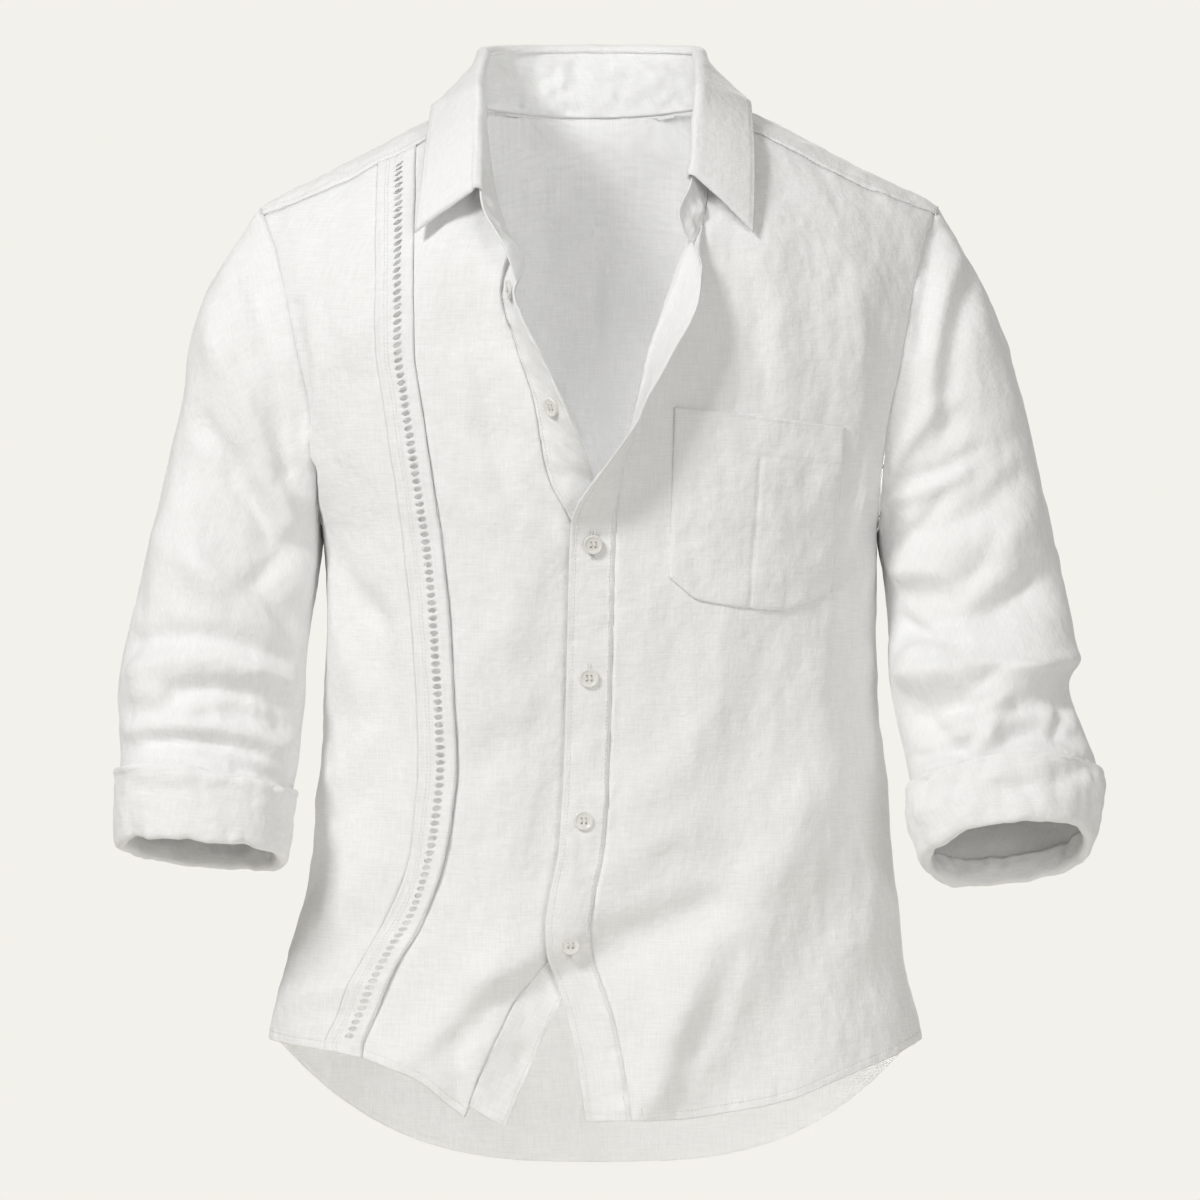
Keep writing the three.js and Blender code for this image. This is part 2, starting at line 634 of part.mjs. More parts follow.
function buildRightFront() {
  const edge = armholeEdge(RIGHT, FRONT);
  const neckPoints = neckRightPoints.slice(RIGHT_STRIP_STEPS.length - 1);
  const trimTop = [trimLeft, trimRight].map((line) => onShoulderSeam(RIGHT, line(LADDER[0].z)));
  const trimLines = [trimLeft, trimRight].map((line, i) => {
    return frontLine(RIGHT, line, trimTop[i], HIGH_ROWS);
  });

  const side = frontPatch(RIGHT, SIDE_COLUMNS, edge, trimLines[0], sideSeam(RIGHT), trimLeft);
  addPanel('front_right_side', side, CLOTH);
  const rootLine = innerEdge(RIGHT, rootRight, neckPoints);
  const inner = frontPatch(RIGHT, INNER_COLUMNS, trimLines[1], rootLine, trimRight, rootRight);
  addPanel('front_right_centre', inner, CLOTH);

  const width = TRIM_LEFT + TRIM_RIGHT;
  const trimPlaces = [0, TRIM_LEFT - HOLE_WIDTH / 2, TRIM_LEFT + HOLE_WIDTH / 2, width];
  const trim = side.map((row, r) => trimPlaces.map((place) => {
    const point = row.at(-1).clone().lerp(inner[r][0], place / width);
    if (place === 0 || place === width) return point;
    if (r === side.length - 1) return onShoulderSeam(RIGHT, point.x);
    return frontPoint(RIGHT, point.x, point.z);
  }));
  addPanel('ladder_trim', trim, CLOTH);

  const stripTop = neckRightPoints.slice(0, RIGHT_STRIP_STEPS.length).reverse();
  addPanel('under_placket', stripRows(RIGHT, RIGHT_STRIP_STEPS, stripTop, column(inner, -1)), FOLDED);
}

// A patch of a front from its hem to the shoulder, between two edges above the
// armpit and the two lines that carry them on below it.
function frontPatch(side, columns, left, right, leftX, rightX) {
  const shares = steps(columns);
  const hem = side === LEFT ? hemLeft : hemRight;
  const top = shares.map((t) => onShoulderSeam(side, lerp(left.at(-1).x, right.at(-1).x, t)));
  top[0] = left.at(-1);
  top[columns] = right.at(-1);
  const foot = shares.map((share) => {
    return frontPoint(side, columnX(side, ARMPIT_Z, leftX(ARMPIT_Z), rightX(ARMPIT_Z), share), ARMPIT_Z);
  });
  foot[0] = left[0];
  foot[columns] = right[0];
  return [...lowRows(side, hem, leftX, rightX, shares), ...highRows(side, left, right, foot, top)];
}

// Rows of an edge strip whose first column is the neighbouring panel's last one.
function stripRows(side, places, top, firstColumn) {
  const hem = side === LEFT ? hemLeft : hemRight;
  const foot = (side === LEFT ? rootLeft : rootRight)(STRIP_FOOT_Z);
  const low = steps(LOW_ROWS).slice(0, -1).map((t) => places.map((across) => {
    return stripPoint(side, lerp(hem(foot - side * across), ARMPIT_Z, t), across);
  }));
  const high = steps(ROOT_ROWS).map((t) => places.map((across, c) => {
    return stripPoint(side, lerp(ARMPIT_Z, top[c].z, t), across);
  }));
  const shift = top.map((point, c) => point.clone().sub(high.at(-1)[c]));
  const met = high.map((row, r) => row.map((point, c) => {
    if (r === ROOT_ROWS) return top[c].clone();
    return point.addScaledVector(shift[c], clamp((r / ROOT_ROWS - STRIP_EASE) / (1 - STRIP_EASE)) ** 2);
  }));
  return [...low, ...met].map((row, r) => [firstColumn[r].clone(), ...row.slice(1)]);
}

function buildLeftFront() {
  const edge = armholeEdge(LEFT, FRONT);
  const rootLine = innerEdge(LEFT, rootLeft, neckLeftPoints.slice(0, NECK_ROWS + 1).reverse());
  const front = frontPatch(LEFT, LEFT_COLUMNS, edge, rootLine, sideSeam(LEFT), rootLeft);
  addPanel('front_left', front, CLOTH, { flip: true });

  const strip = stripRows(LEFT, leftStripSteps, neckLeftPoints.slice(NECK_ROWS), column(front, -1));
  const rollEnd = LEFT_ROLL_STEPS.length - 1;
  const roll = strip.map((row) => row.slice(0, rollEnd + 1));
  addPanel('roll', roll, CLOTH, { flip: true, piece: 'front_left' });
  const placket = strip.map((row) => row.slice(rollEnd).map((p) => p.clone()));
  addPanel('button_placket', placket, FOLDED, { flip: true });
}

function buildBack() {
  const low = steps(LOW_ROWS).slice(0, -1).map((t) => steps(BACK_COLUMNS).map((share) => {
    const angle = Math.PI * share;
    const across = signedPower(Math.cos(angle), 2 / SECTION_POWER);
    const hemZ = SIDE_HEM_Z - BACK_TAIL * (1 - Math.abs(across) ** 3);
    const z = lerp(hemZ, ARMPIT_Z, t);
    return bodyPoint(BACK, xAtAngle(LEFT, angle, z), z);
  }));
  const leftEdge = armholeEdge(LEFT, BACK);
  const rightEdge = armholeEdge(RIGHT, BACK);
  const foot = steps(BACK_COLUMNS).map((share) => {
    return bodyPoint(BACK, xAtAngle(LEFT, Math.PI * share, ARMPIT_Z), ARMPIT_Z);
  });
  const top = steps(BACK_COLUMNS).map((share) => {
    const x = lerp(leftEdge.at(-1).x, rightEdge.at(-1).x, share);
    return bodyPoint(BACK, x, backJoin(outOf(x)));
  });
  top[0] = leftEdge.at(-1).clone();
  top[BACK_COLUMNS] = rightEdge.at(-1).clone();
  const patch = coons(foot, top, leftEdge, rightEdge);
  const high = patch.map((row, r) => row.map((p, c) => {
    if (r === HIGH_ROWS) return top[c].clone();
    return bodyPoint(BACK, p.x, p.z);
  }));
  addPanel('back', [...low, ...high], CLOTH);
}

// The armhole over the shoulder, from the front seam to the back patch.
function shoulderEdge(side) {
  const from = armholeEdge(side, FRONT).at(-1);
  const to = armholeEdge(side, BACK).at(-1);
  const tip = new THREE.Vector3(CENTRE_X + side * ARMHOLE[0].out, 0, ARMHOLE[0].z);
  const path = new THREE.CatmullRomCurve3([from, tip, to], false, 'centripetal');
  const points = along(path, steps(SHOULDER_STEPS));
  points[0] = from;
  points[SHOULDER_STEPS] = to;
  return points;
}

// The back runs on over the shoulders to the front seams.
function buildShoulders() {
  const rightSeam = [
    ...panels.front_right_side.rows.at(-1).slice(0, -1),
    ...panels.ladder_trim.rows.at(-1).slice(0, -1),
    ...panels.front_right_centre.rows.at(-1),
  ].reverse();
  const leftSeam = panels.front_left.rows.at(-1).slice().reverse();
  const outer = [
    ...shoulderEdge(RIGHT).slice(0, -1),
    ...panels.back.rows.at(-1).slice().reverse(),
    ...shoulderEdge(LEFT).reverse().slice(1),
  ];
  const lift = (p) => new THREE.Vector3(p.x, p.y, p.z - shoulderHeight(p.x, p.y));
  const edges = [neckBackPoints, outer, rightSeam, leftSeam].map((edge) => edge.map(lift));
  const rows = coons(...edges).map((row, r, all) => row.map((p, c) => {
    if (r === 0) return neckBackPoints[c].clone();
    if (r === all.length - 1) return outer[c].clone();
    if (c === 0) return rightSeam[r].clone();
    if (c === row.length - 1) return leftSeam[r].clone();
    return new THREE.Vector3(p.x, p.y, p.z + shoulderHeight(p.x, p.y));
  }));
  addPanel('shoulders', rows, CLOTH, { piece: 'back' });
}

// ---------------------------------------------------------------- sleeves

function sleeveSection(row, angles) {
  const centre = new THREE.Vector3((row.outX + row.inX) / 2, row.y, (row.outZ + row.inZ) / 2);
  const inwards = new THREE.Vector3(row.inX - row.outX, 0, row.inZ - row.outZ).multiplyScalar(0.5);
  const tilt = radians(row.tilt);
  const forwards = new THREE.Vector3(0, -Math.cos(tilt), Math.sin(tilt)).multiplyScalar(row.half);
  return angles.map((angle) => {
    const point = centre.clone();
    point.addScaledVector(inwards, signedPower(Math.cos(angle), 2 / SLEEVE_POWER));
    return point.addScaledVector(forwards, signedPower(Math.sin(angle), 2 / SLEEVE_POWER));
  });
}

// The armhole as one loop: up the front, over the shoulder and down the back.
function armholeLoop(side) {
  const back = armholeEdge(side, BACK).reverse();
  return [
    ...armholeEdge(side, FRONT).slice(0, -1),
    ...shoulderEdge(side),
    ...back.slice(1, -1),
  ];
}

function buildSleeve(side) {
  const table = side === RIGHT ? SLEEVE_RIGHT : SLEEVE_LEFT;
  const loop = armholeLoop(side);
  const tip = HIGH_ROWS + SHOULDER_STEPS / 2;
  const lengths = [0];
  loop.forEach((p, k) => lengths.push(lengths[k] + p.distanceTo(loop[(k + 1) % loop.length])));
  const angles = loop.map((_, k) => (k <= tip
    ? (Math.PI * lengths[k]) / lengths[tip]
    : Math.PI * (1 + (lengths[k] - lengths[tip]) / (lengths[loop.length] - lengths[tip]))));
  const sections = [loop, ...table.map((row) => sleeveSection(row, angles))];
  const curves = loop.map((_, k) => {
    return new THREE.CatmullRomCurve3(sections.map((section) => section[k]), false, 'catmullrom', 0.5);
  });
  const count = (sections.length - 1) * SLEEVE_STEPS;
  const rows = steps(count).map((t) => curves.map((curve) => curve.getPoint(t)));
  rows[0] = loop.map((p) => p.clone());
  const name = side === RIGHT ? 'right' : 'left';
  addPanel(`sleeve_${name}`, rows, CLOTH, { flip: side === LEFT, closed: true });
}

// The cuff hooks round the sleeve's end; it is made from the sleeve's own rows.
function cuffGrid(sleeve) {
  const rows = sleeve.shaped;
  const normals = sleeve.normals;
  return CUFF_SECTION.map(({ up, out }) => rows.at(-1).map((end, k) => {
    let left = up;
    let r = rows.length - 1;
    while (r > 1 && left > rows[r][k].distanceTo(rows[r - 1][k])) {
      left -= rows[r][k].distanceTo(rows[r - 1][k]);
      r -= 1;
    }
    const direction = rows[r - 1][k].clone().sub(rows[r][k]).normalize();
    const length = rows[r][k].distanceTo(rows[r - 1][k]);
    const normal = normals[r][k].clone().lerp(normals[r - 1][k], clamp(left / length)).normalize();
    return rows[r][k].clone().addScaledVector(direction, left).addScaledVector(normal, out);
  }));
}

// ---------------------------------------------------------------- collar

function neckCurves(x, y, z) {
  return [NECK_RIGHT, NECK_BACK, NECK_LEFT].map((rows) => curveThrough(rows, x, y, z));
}

function collarSamples(curves) {
  const shares = [neckRightShares, steps(neckBackColumns), neckLeftShares];
  return curves.flatMap((curve, i) => along(curve, shares[i]).slice(i === 0 ? 0 : 1));
}

function buildStand() {
  const seam = [...neckRightPoints, ...neckBackPoints.slice(1), ...neckLeftPoints.slice(1)];
  const top = collarSamples(neckCurves('topX', 'topY', 'topZ'));
  const rows = steps(STAND_ROWS).map((t) => seam.map((p, c) => p.clone().lerp(top[c], t)));
  addPanel('collar_stand', rows, FOLDED, { flip: true });
}

// The leaf springs from the stand's top edge, rolls over and falls outside it.
function buildLeaf() {
  const stand = panels.collar_stand;
  const first = RIGHT_STRIP_STEPS.length;
  const last = neckRightShares.length + neckBackColumns + NECK_ROWS - 1;
  const curves = [LEAF_RIGHT, LEAF_BACK, LEAF_LEFT].map((rows) => curveThrough(rows, 'x', 'y', 'z'));
  const rightColumns = neckRightShares.length - 1 - first;
  const edge = [
    ...along(curves[0], steps(rightColumns)),
    ...along(curves[1], steps(neckBackColumns)).slice(1),
    ...along(curves[2], steps(NECK_ROWS)).slice(1),
  ];
  const top = stand.shaped.at(-1).slice(first, last + 1);
  const below = stand.shaped.at(-2).slice(first, last + 1);
  const normals = stand.normals.at(-1).slice(first, last + 1);
  const roll = [
    { out: -FOLDED, up: 0.5 },
    { out: -FOLDED, up: 2.4 },
    { out: 0.3, up: 4.6 },
    { out: 3.2, up: 2.8 },
  ];
  const rolled = roll.map(({ out, up }) => top.map((p, c) => {
    const rise = p.clone().sub(below[c]).normalize();
    return p.clone().addScaledVector(normals[c], out).addScaledVector(rise, up);
  }));
  const fall = LEAF_FALL_STEPS.map((t) => rolled.at(-1).map((p, c) => {
    const bulge = LEAF_BULGE * Math.sin(Math.PI * t);
    return p.clone().lerp(edge[c], t).addScaledVector(normals[c], bulge);
  }));
  addPanel('collar_leaf', [...rolled, ...fall], FOLDED);
}

// ---------------------------------------------------------------- folds, seams and walls

function foldDepth(point, normal) {
  return FOLDS.reduce((total, fold) => {
    const dx = fold.x2 - fold.x1;
    const dz = fold.z2 - fold.z1;
    const length = Math.hypot(dx, dz);
    const t = ((point.x - fold.x1) * dx + (point.z - fold.z1) * dz) / length ** 2;
    const off = ((point.x - fold.x1) * dz - (point.z - fold.z1) * dx) / length;
    const past = Math.max(0, -t, t - 1) * length;
    const ending = past / (FOLD_ENDING * fold.width);
    const reach = Math.exp(-((off / fold.width) ** 2) - ending ** 2);
    const facing = smooth(fold.face * normal.y * FOLD_FACING);
    return total + fold.depth * reach * facing;
  }, 0);
}

// Normals of a grid's points, from the faces around each.
function gridNormals(panel) {
  const { rows, closed, flip } = panel;
  const width = rows[0].length;
  const sums = rows.map((row) => row.map(() => new THREE.Vector3()));
  for (let r = 0; r < rows.length - 1; r += 1) {
    for (let c = 0; c < (closed ? width : width - 1); c += 1) {
      const d = (c + 1) % width;
      const corners = [[r, c], [r, d], [r + 1, d], [r + 1, c]];
      const [first, second, third, fourth] = corners.map(([i, k]) => rows[i][k]);
      const face = third.clone().sub(first).cross(fourth.clone().sub(second));
      corners.forEach(([i, k]) => sums[i][k].add(face));
    }
  }
  return sums.map((row) => row.map((sum) => sum.normalize().multiplyScalar(flip ? -1 : 1)));
}

const keyOf = (p) => [p.x, p.y, p.z].map((v) => Math.round(v * 500)).join();

// Direction of a panel's border at one of its points, or none at a corner.
function seamCourse({ rows, closed }, r, c) {
  const last = rows.length - 1;
  const width = rows[0].length;
  const onEnd = r === 0 || r === last;
  const onSide = !closed && (c === 0 || c === width - 1);
  if (onEnd && onSide) return new THREE.Vector3();
  const course = onEnd
    ? rows[r][(c + 1) % width].clone().sub(rows[r][(c + width - 1) % width])
    : rows[r + 1][c].clone().sub(rows[r - 1][c]);
  return course.normalize();
}

// Groups the points of different panels that lie on one seam.
function seamGroups(list) {
  const groups = new Map();
  list.forEach((panel) => {
    const last = panel.rows.length - 1;
    const end = panel.rows[0].length - 1;
    panel.rows.forEach((row, r) => row.forEach((point, c) => {
      const onSide = !panel.closed && (c === 0 || c === end);
      if (r !== 0 && r !== last && !onSide) return;
      const inR = clamp(r, 1, last - 1);
      const inC = panel.closed ? c : clamp(c, 1, end - 1);
      const inside = panel.rows[inR][inC].clone().sub(point).normalize();
      const entry = { panel, r, c, normal: panel.normals[r][c].clone(), inside };
      entry.course = seamCourse(panel, r, c);
      const key = keyOf(point);
      groups.set(key, [...(groups.get(key) ?? []), entry]);
    }));
  });
  return [...groups.values()].filter((group) => group.length > 1);
}

const atNeck = (group) => group.some(({ panel }) => panel.piece === 'collar_stand');

// The sides of a seam: one, or more where it is folded back on itself.
function seamSides(group) {
  const limit = FOLDED_BACK[atNeck(group) ? 'neck' : 'other'];
  const sides = [];
  group.forEach((entry) => {
    const side = sides.find(([first]) => first.normal.dot(entry.normal) > limit);
    if (side) side.push(entry);
    else sides.push([entry]);
  });
  return sides;
}

// Gives the points of each seam one normal on each side of it.
function shareNormals(groups) {
  groups.flatMap(seamSides).forEach((entries) => {
    const shared = new THREE.Vector3();
    entries.forEach((entry) => shared.add(entry.normal));
    shared.normalize();
    entries.forEach(({ panel, r, c }) => panel.normals[r][c].copy(shared));
  });
}

// Lays the folds into the panels, but for seams folded back on themselves.
function layFolds(list) {
  list.forEach((panel) => { panel.normals = gridNormals(panel); });
  const groups = seamGroups(list);
  shareNormals(groups);
  const still = new Set();
  groups.filter((group) => seamSides(group).length > 1).forEach((group) => {
    group.forEach(({ panel, r, c }) => still.add(panel.rows[r][c]));
  });
  list.forEach((panel) => {
    panel.rows = panel.rows.map((row, r) => row.map((point, c) => {
      if (still.has(point)) return point;
      const normal = panel.normals[r][c];
      return point.clone().addScaledVector(normal, foldDepth(point, normal));
    }));
  });
}

// Sets the panels' final points and normals, and how far each is drawn back from its seams.
function shapePanels(list) {
  layFolds(list);
  list.forEach((panel) => {
    panel.normals = gridNormals(panel);
    panel.shaped = panel.rows;
    panel.drawBack = panel.rows.map((row) => row.map(() => new THREE.Vector3()));
  });
  const groups = seamGroups(list);
  shareNormals(groups);
  groups.forEach((group) => group.forEach((entry) => {
    const own = group.filter((other) => other.panel.piece === entry.panel.piece);
    const others = group.filter((other) => other.panel.piece !== entry.panel.piece);
    if (!others.length) return;
    const away = new THREE.Vector3();
    own.forEach((other) => away.addScaledVector(other.inside, 1 / own.length));
    others.forEach((other) => away.addScaledVector(other.inside, -1 / others.length));
    away.addScaledVector(entry.course, -away.dot(entry.course));
    away.setLength((atNeck(group) ? NECK_GAP : SEAM_GAP) / 2);
    entry.panel.drawBack[entry.r][entry.c].copy(away);
  }));
}

// A panel that meets no seam is taken as it lies.
function layPanel(panel) {
  panel.normals = gridNormals(panel);
  panel.shaped = panel.rows;
  panel.drawBack = panel.rows.map((row) => row.map(() => new THREE.Vector3()));
}

// Outer and inner faces of a panel's wall.
function wallFaces(panel) {
  const outer = panel.shaped.map((row, r) => row.map((p, c) => p.clone().add(panel.drawBack[r][c])));
  const inner = outer.map((row, r) => row.map((p, c) => {
    return p.clone().addScaledVector(panel.normals[r][c], -panel.wall);
  }));
  return { outer, inner };
}

class Shell {
  constructor() {
    this.points = [];
  }

  triangle(a, b, c) {
    this.points.push(a, b, c);
  }

  // A four-sided face seen from outside, or from inside where `facing` is negative;
  // both are split along the same diagonal.
  quad([a, b, c, d], facing = 1) {
    this.triangle(a, ...(facing > 0 ? [b, c] : [c, b]));
    this.triangle(a, ...(facing > 0 ? [c, d] : [d, c]));
  }

  geometry() {
    const geometry = new THREE.BufferGeometry().setFromPoints(this.points);
    geometry.computeVertexNormals();
    return geometry;
  }
}

// The closed wall of one piece, made of one patch or of several joined ones.
function wallGeometry(patches) {
  const shell = new Shell();
  const rims = new Map();
  const rim = (a, b, innerA, innerB) => {
    const key = [a, b].map(keyOf).sort().join(' ');
    rims.set(key, [...(rims.get(key) ?? []), [a, b, innerB, innerA]]);
  };
  patches.forEach((panel) => {
    const { outer, inner } = wallFaces(panel);
    const last = outer.length - 1;
    const width = outer[0].length;
    const turned = panel.flip ? -1 : 1;
    const columns = panel.closed ? width : width - 1;
    for (let c = 0; c < columns; c += 1) {
      const d = (c + 1) % width;
      for (let r = 0; r < last; r += 1) {
        shell.quad([outer[r][c], outer[r][d], outer[r + 1][d], outer[r + 1][c]], turned);
        shell.quad([inner[r][c], inner[r][d], inner[r + 1][d], inner[r + 1][c]], -turned);
      }
      if (panel.flip) {
        rim(outer[0][c], outer[0][d], inner[0][c], inner[0][d]);
        rim(outer[last][d], outer[last][c], inner[last][d], inner[last][c]);
      } else {
        rim(outer[0][d], outer[0][c], inner[0][d], inner[0][c]);
        rim(outer[last][c], outer[last][d], inner[last][c], inner[last][d]);
      }
    }
    if (panel.closed) return;
    [0, width - 1].forEach((c) => {
      for (let r = 0; r < last; r += 1) {
        const upwards = (c === 0) !== panel.flip;
        const [from, to] = upwards ? [r, r + 1] : [r + 1, r];
        rim(outer[from][c], outer[to][c], inner[from][c], inner[to][c]);
      }
    });
  });
  rims.forEach((sides) => {
    if (sides.length === 1) shell.quad(sides[0]);
  });
  return shell.geometry();
}

// The ladder strip's wall, with a row of holes between two rails.
function ladderGeometry(panel) {
  const { outer, inner } = wallFaces(panel);
  const middle = panel.shaped.map((row) => row[1].clone().lerp(row[2], 0.5));
  const reached = [0];
  middle.slice(1).forEach((p, i) => reached.push(reached[i] + p.distanceTo(middle[i])));
  const length = reached.at(-1);
  const cell = length / HOLE_COUNT;

  const pointAt = (face, distance, c) => {
    let r = 0;
    while (r < reached.length - 2 && distance > reached[r + 1]) r += 1;
    const share = clamp((distance - reached[r]) / (reached[r + 1] - reached[r]));
    return face[r][c].clone().lerp(face[r + 1][c], share);
  };
  const cells = Array.from({ length: HOLE_COUNT }, (_, k) => k * cell);
  const edgeStations = [...cells, length];
  const railStations = [0, ...cells.flatMap((s) => [s + BAR_WIDTH / 2, s + cell - BAR_WIDTH / 2]), length];
  const stationsOf = [edgeStations, railStations, railStations, edgeStations];
  const [out, ins] = [outer, inner].map((face) => {
    return stationsOf.map((list, c) => list.map((s) => pointAt(face, s, c)));
  });

  const shell = new Shell();
  const railFace = (face, c, facing) => {
    const [near, far] = [face[c], face[c + 1]];
    const [nearAt, farAt] = [stationsOf[c], stationsOf[c + 1]];
    let i = 0;
    let j = 0;
    while (i < near.length - 1 || j < far.length - 1) {
      const climbNear = j === far.length - 1
        || (i < near.length - 1 && nearAt[i] + nearAt[i + 1] < farAt[j] + farAt[j + 1]);
      const third = climbNear ? near[i + 1] : far[j + 1];
      if (facing > 0) shell.triangle(near[i], far[j], third);
      else shell.triangle(near[i], third, far[j]);
      if (climbNear) i += 1;
      else j += 1;
    }
  };
  [0, 2].forEach((c) => {
    railFace(out, c, 1);
    railFace(ins, c, -1);
  });

  railStations.slice(1).forEach((_, s) => {
    if (s % 2 === 0) {
      shell.quad([out[1][s], out[2][s], out[2][s + 1], out[1][s + 1]]);
      shell.quad([ins[1][s], ins[2][s], ins[2][s + 1], ins[1][s + 1]], -1);
      return;
    }
    shell.quad([out[1][s], out[1][s + 1], ins[1][s + 1], ins[1][s]], -1);
    shell.quad([out[2][s], ins[2][s], ins[2][s + 1], out[2][s + 1]], -1);
    shell.quad([out[1][s], ins[1][s], ins[2][s], out[2][s]], -1);
    shell.quad([out[1][s + 1], out[2][s + 1], ins[2][s + 1], ins[1][s + 1]], -1);
  });
  edgeStations.slice(1).forEach((_, s) => {
    shell.quad([out[0][s], out[0][s + 1], ins[0][s + 1], ins[0][s]]);
    shell.quad([out[3][s], ins[3][s], ins[3][s + 1], out[3][s + 1]]);
  });
  steps(TRIM_COLUMNS).slice(1).forEach((_, c) => {
    shell.quad([out[c][0], ins[c][0], ins[c + 1][0], out[c + 1][0]]);
    shell.quad([out[c].at(-1), out[c + 1].at(-1), ins[c + 1].at(-1), ins[c].at(-1)]);
  });
  return shell.geometry();
}

// A ring whose section closes on itself.
function ringGeometry(rows, flip) {
  const shell = new Shell();
  rows.forEach((row, r) => row.forEach((point, c) => {
    const next = rows[(r + 1) % rows.length];
    const d = (c + 1) % row.length;
    shell.quad([point, row[d], next[d], next[c]], flip ? -1 : 1);
  }));
  return shell.geometry();
}

// ---------------------------------------------------------------- pieces laid on the fronts

// The point of a panel's outer face under (x, z) as seen from the front, moved out.
function pointOver(panel, x, z, out) {
  const { shaped } = panel;
  for (let r = 0; r < shaped.length - 1; r += 1) {
    for (let c = 0; c < shaped[r].length - 1; c += 1) {
      const quad = [shaped[r][c], shaped[r][c + 1], shaped[r + 1][c + 1], shaped[r + 1][c]];
      for (const [a, b, d] of [[quad[0], quad[1], quad[2]], [quad[0], quad[2], quad[3]]]) {
        const area = (b.x - a.x) * (d.z - a.z) - (d.x - a.x) * (b.z - a.z);
        const u = ((x - a.x) * (d.z - a.z) - (d.x - a.x) * (z - a.z)) / area;
        const v = ((b.x - a.x) * (z - a.z) - (x - a.x) * (b.z - a.z)) / area;
        if (u >= 0 && v >= 0 && u + v <= 1) {
          const normal = b.clone().sub(a).cross(d.clone().sub(a)).normalize();
          if (normal.y > 0) normal.negate();
          const y = a.y + u * (b.y - a.y) + v * (d.y - a.y);
          return new THREE.Vector3(x, y, z).addScaledVector(normal, out);
        }
      }
    }
  }
  throw new Error(`no cloth of ${panel.name} at ${x}, ${z}`);
}

function buildPocket() {
  const foot = track(POCKET_FOOT, 'along', 'z');
  const rows = steps(POCKET_ROWS).map((v) => steps(POCKET_COLUMNS).map((u) => {
    const x = lerp(
      lerp(POCKET.innerFoot, POCKET.innerTop, v),
      lerp(POCKET.outerFoot, POCKET.outerTop, v),
      u,
    );
    const z = lerp(foot(u), lerp(POCKET_TOP.inner, POCKET_TOP.outer, u), v);
    return pointOver(panels.front_left, x, z, POCKET_CLEARANCE + POCKET_WALL);
  }));
  addPanel('pocket', rows, POCKET_WALL);
}

// A button standing on the cloth of an edge strip, `across` from its sewn edge.
function buttonMesh({ z, side, across }, name) {
  const panel = side === RIGHT ? panels.under_placket : panels.button_placket;
  const places = side === RIGHT ? RIGHT_STRIP_STEPS : LEFT_PLACKET_STEPS;
  const c = places.findLastIndex((place) => place < across);
  const share = (across - places[c]) / (places[c + 1] - places[c]);
  const line = panel.shaped.map((row) => row[c].clone().lerp(row[c + 1], share));
  const r = line.findLastIndex((point) => point.z < z);
  const centre = line[r].clone().lerp(line[r + 1], (z - line[r].z) / (line[r + 1].z - line[r].z));
  const normal = new THREE.Vector3();
  [[r, c], [r, c + 1], [r + 1, c], [r + 1, c + 1]].forEach(([i, k]) => normal.add(panel.normals[i][k]));
  normal.normalize();

  const lift = clothHeights(panel.shaped, centre, normal).reduce((most, h) => Math.max(most, h), 0);
  const profile = BUTTON_PROFILE.map(({ radius, height }) => new THREE.Vector2(radius, height));
  const mesh = new THREE.Mesh(new THREE.LatheGeometry(profile, BUTTON_SEGMENTS), material('shell'));
  mesh.name = name;
  mesh.position.copy(centre.addScaledVector(normal, lift + BUTTON_CLEARANCE));
  mesh.quaternion.setFromUnitVectors(new THREE.Vector3(0, 1, 0), normal);
  return mesh;
}

// Heights of the cloth over a button's place, within the button's reach.
function clothHeights(rows, centre, normal) {
  const heights = [];
  rows.slice(1).forEach((row, r) => row.slice(1).forEach((_, c) => {
    steps(SEAT_STEPS).forEach((u) => steps(SEAT_STEPS).forEach((v) => {
      const low = rows[r][c].clone().lerp(rows[r][c + 1], u);
      const offset = low.lerp(rows[r + 1][c].clone().lerp(rows[r + 1][c + 1], u), v).sub(centre);
      const height = offset.dot(normal);
      const reach = offset.addScaledVector(normal, -height).length();
      if (reach < SEAT_REACH && Math.abs(height) < SEAT_REACH) heights.push(height);
    }));
  }));
  return heights;
}

// ---------------------------------------------------------------- assembly

function material(kind) {
  const finish = {
    linen: { color: '#eeeeea', roughness: 0.92 },
    shell: { color: '#f0f0ec', roughness: 0.45 },
  }[kind];
  return new THREE.MeshStandardMaterial({ ...finish, metalness: 0 });
}

buildRightFront();
buildLeftFront();
buildBack();
buildShoulders();
buildSleeve(RIGHT);
buildSleeve(LEFT);
buildStand();
shapePanels(Object.values(panels));
buildLeaf();
buildPocket();
[panels.collar_leaf, panels.pocket].forEach(layPanel);

const shirt = new THREE.Group();
const addMesh = (name, geometry) => {
  const mesh = new THREE.Mesh(geometry, material('linen'));
  mesh.name = name;
  shirt.add(mesh);
};
const pieces = new Set(Object.values(panels).map((panel) => panel.piece));
pieces.forEach((piece) => {
  const patches = Object.values(panels).filter((panel) => panel.piece === piece);
  addMesh(piece, piece === 'ladder_trim' ? ladderGeometry(patches[0]) : wallGeometry(patches));
});
addMesh('cuff_right', ringGeometry(cuffGrid(panels.sleeve_right), false));
addMesh('cuff_left', ringGeometry(cuffGrid(panels.sleeve_left), true));
BUTTONS.forEach((row, i) => shirt.add(buttonMesh(row, `button_${i + 1}`)));

export default shirt;
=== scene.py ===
"""Looks of a button-up linen shirt, filled out as if worn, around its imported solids.

The tables hold millimetres in the part's frame: +Z is up, -Y is the front and +X is
the wearer's left. Meshes are made in metres. Every cloth piece is a fine grid on the
form of its solid, with the folds and creases laid into it, given a thin wall.
"""

import logging
import math
from collections.abc import Callable, Sequence
from dataclasses import dataclass, field
from enum import Enum

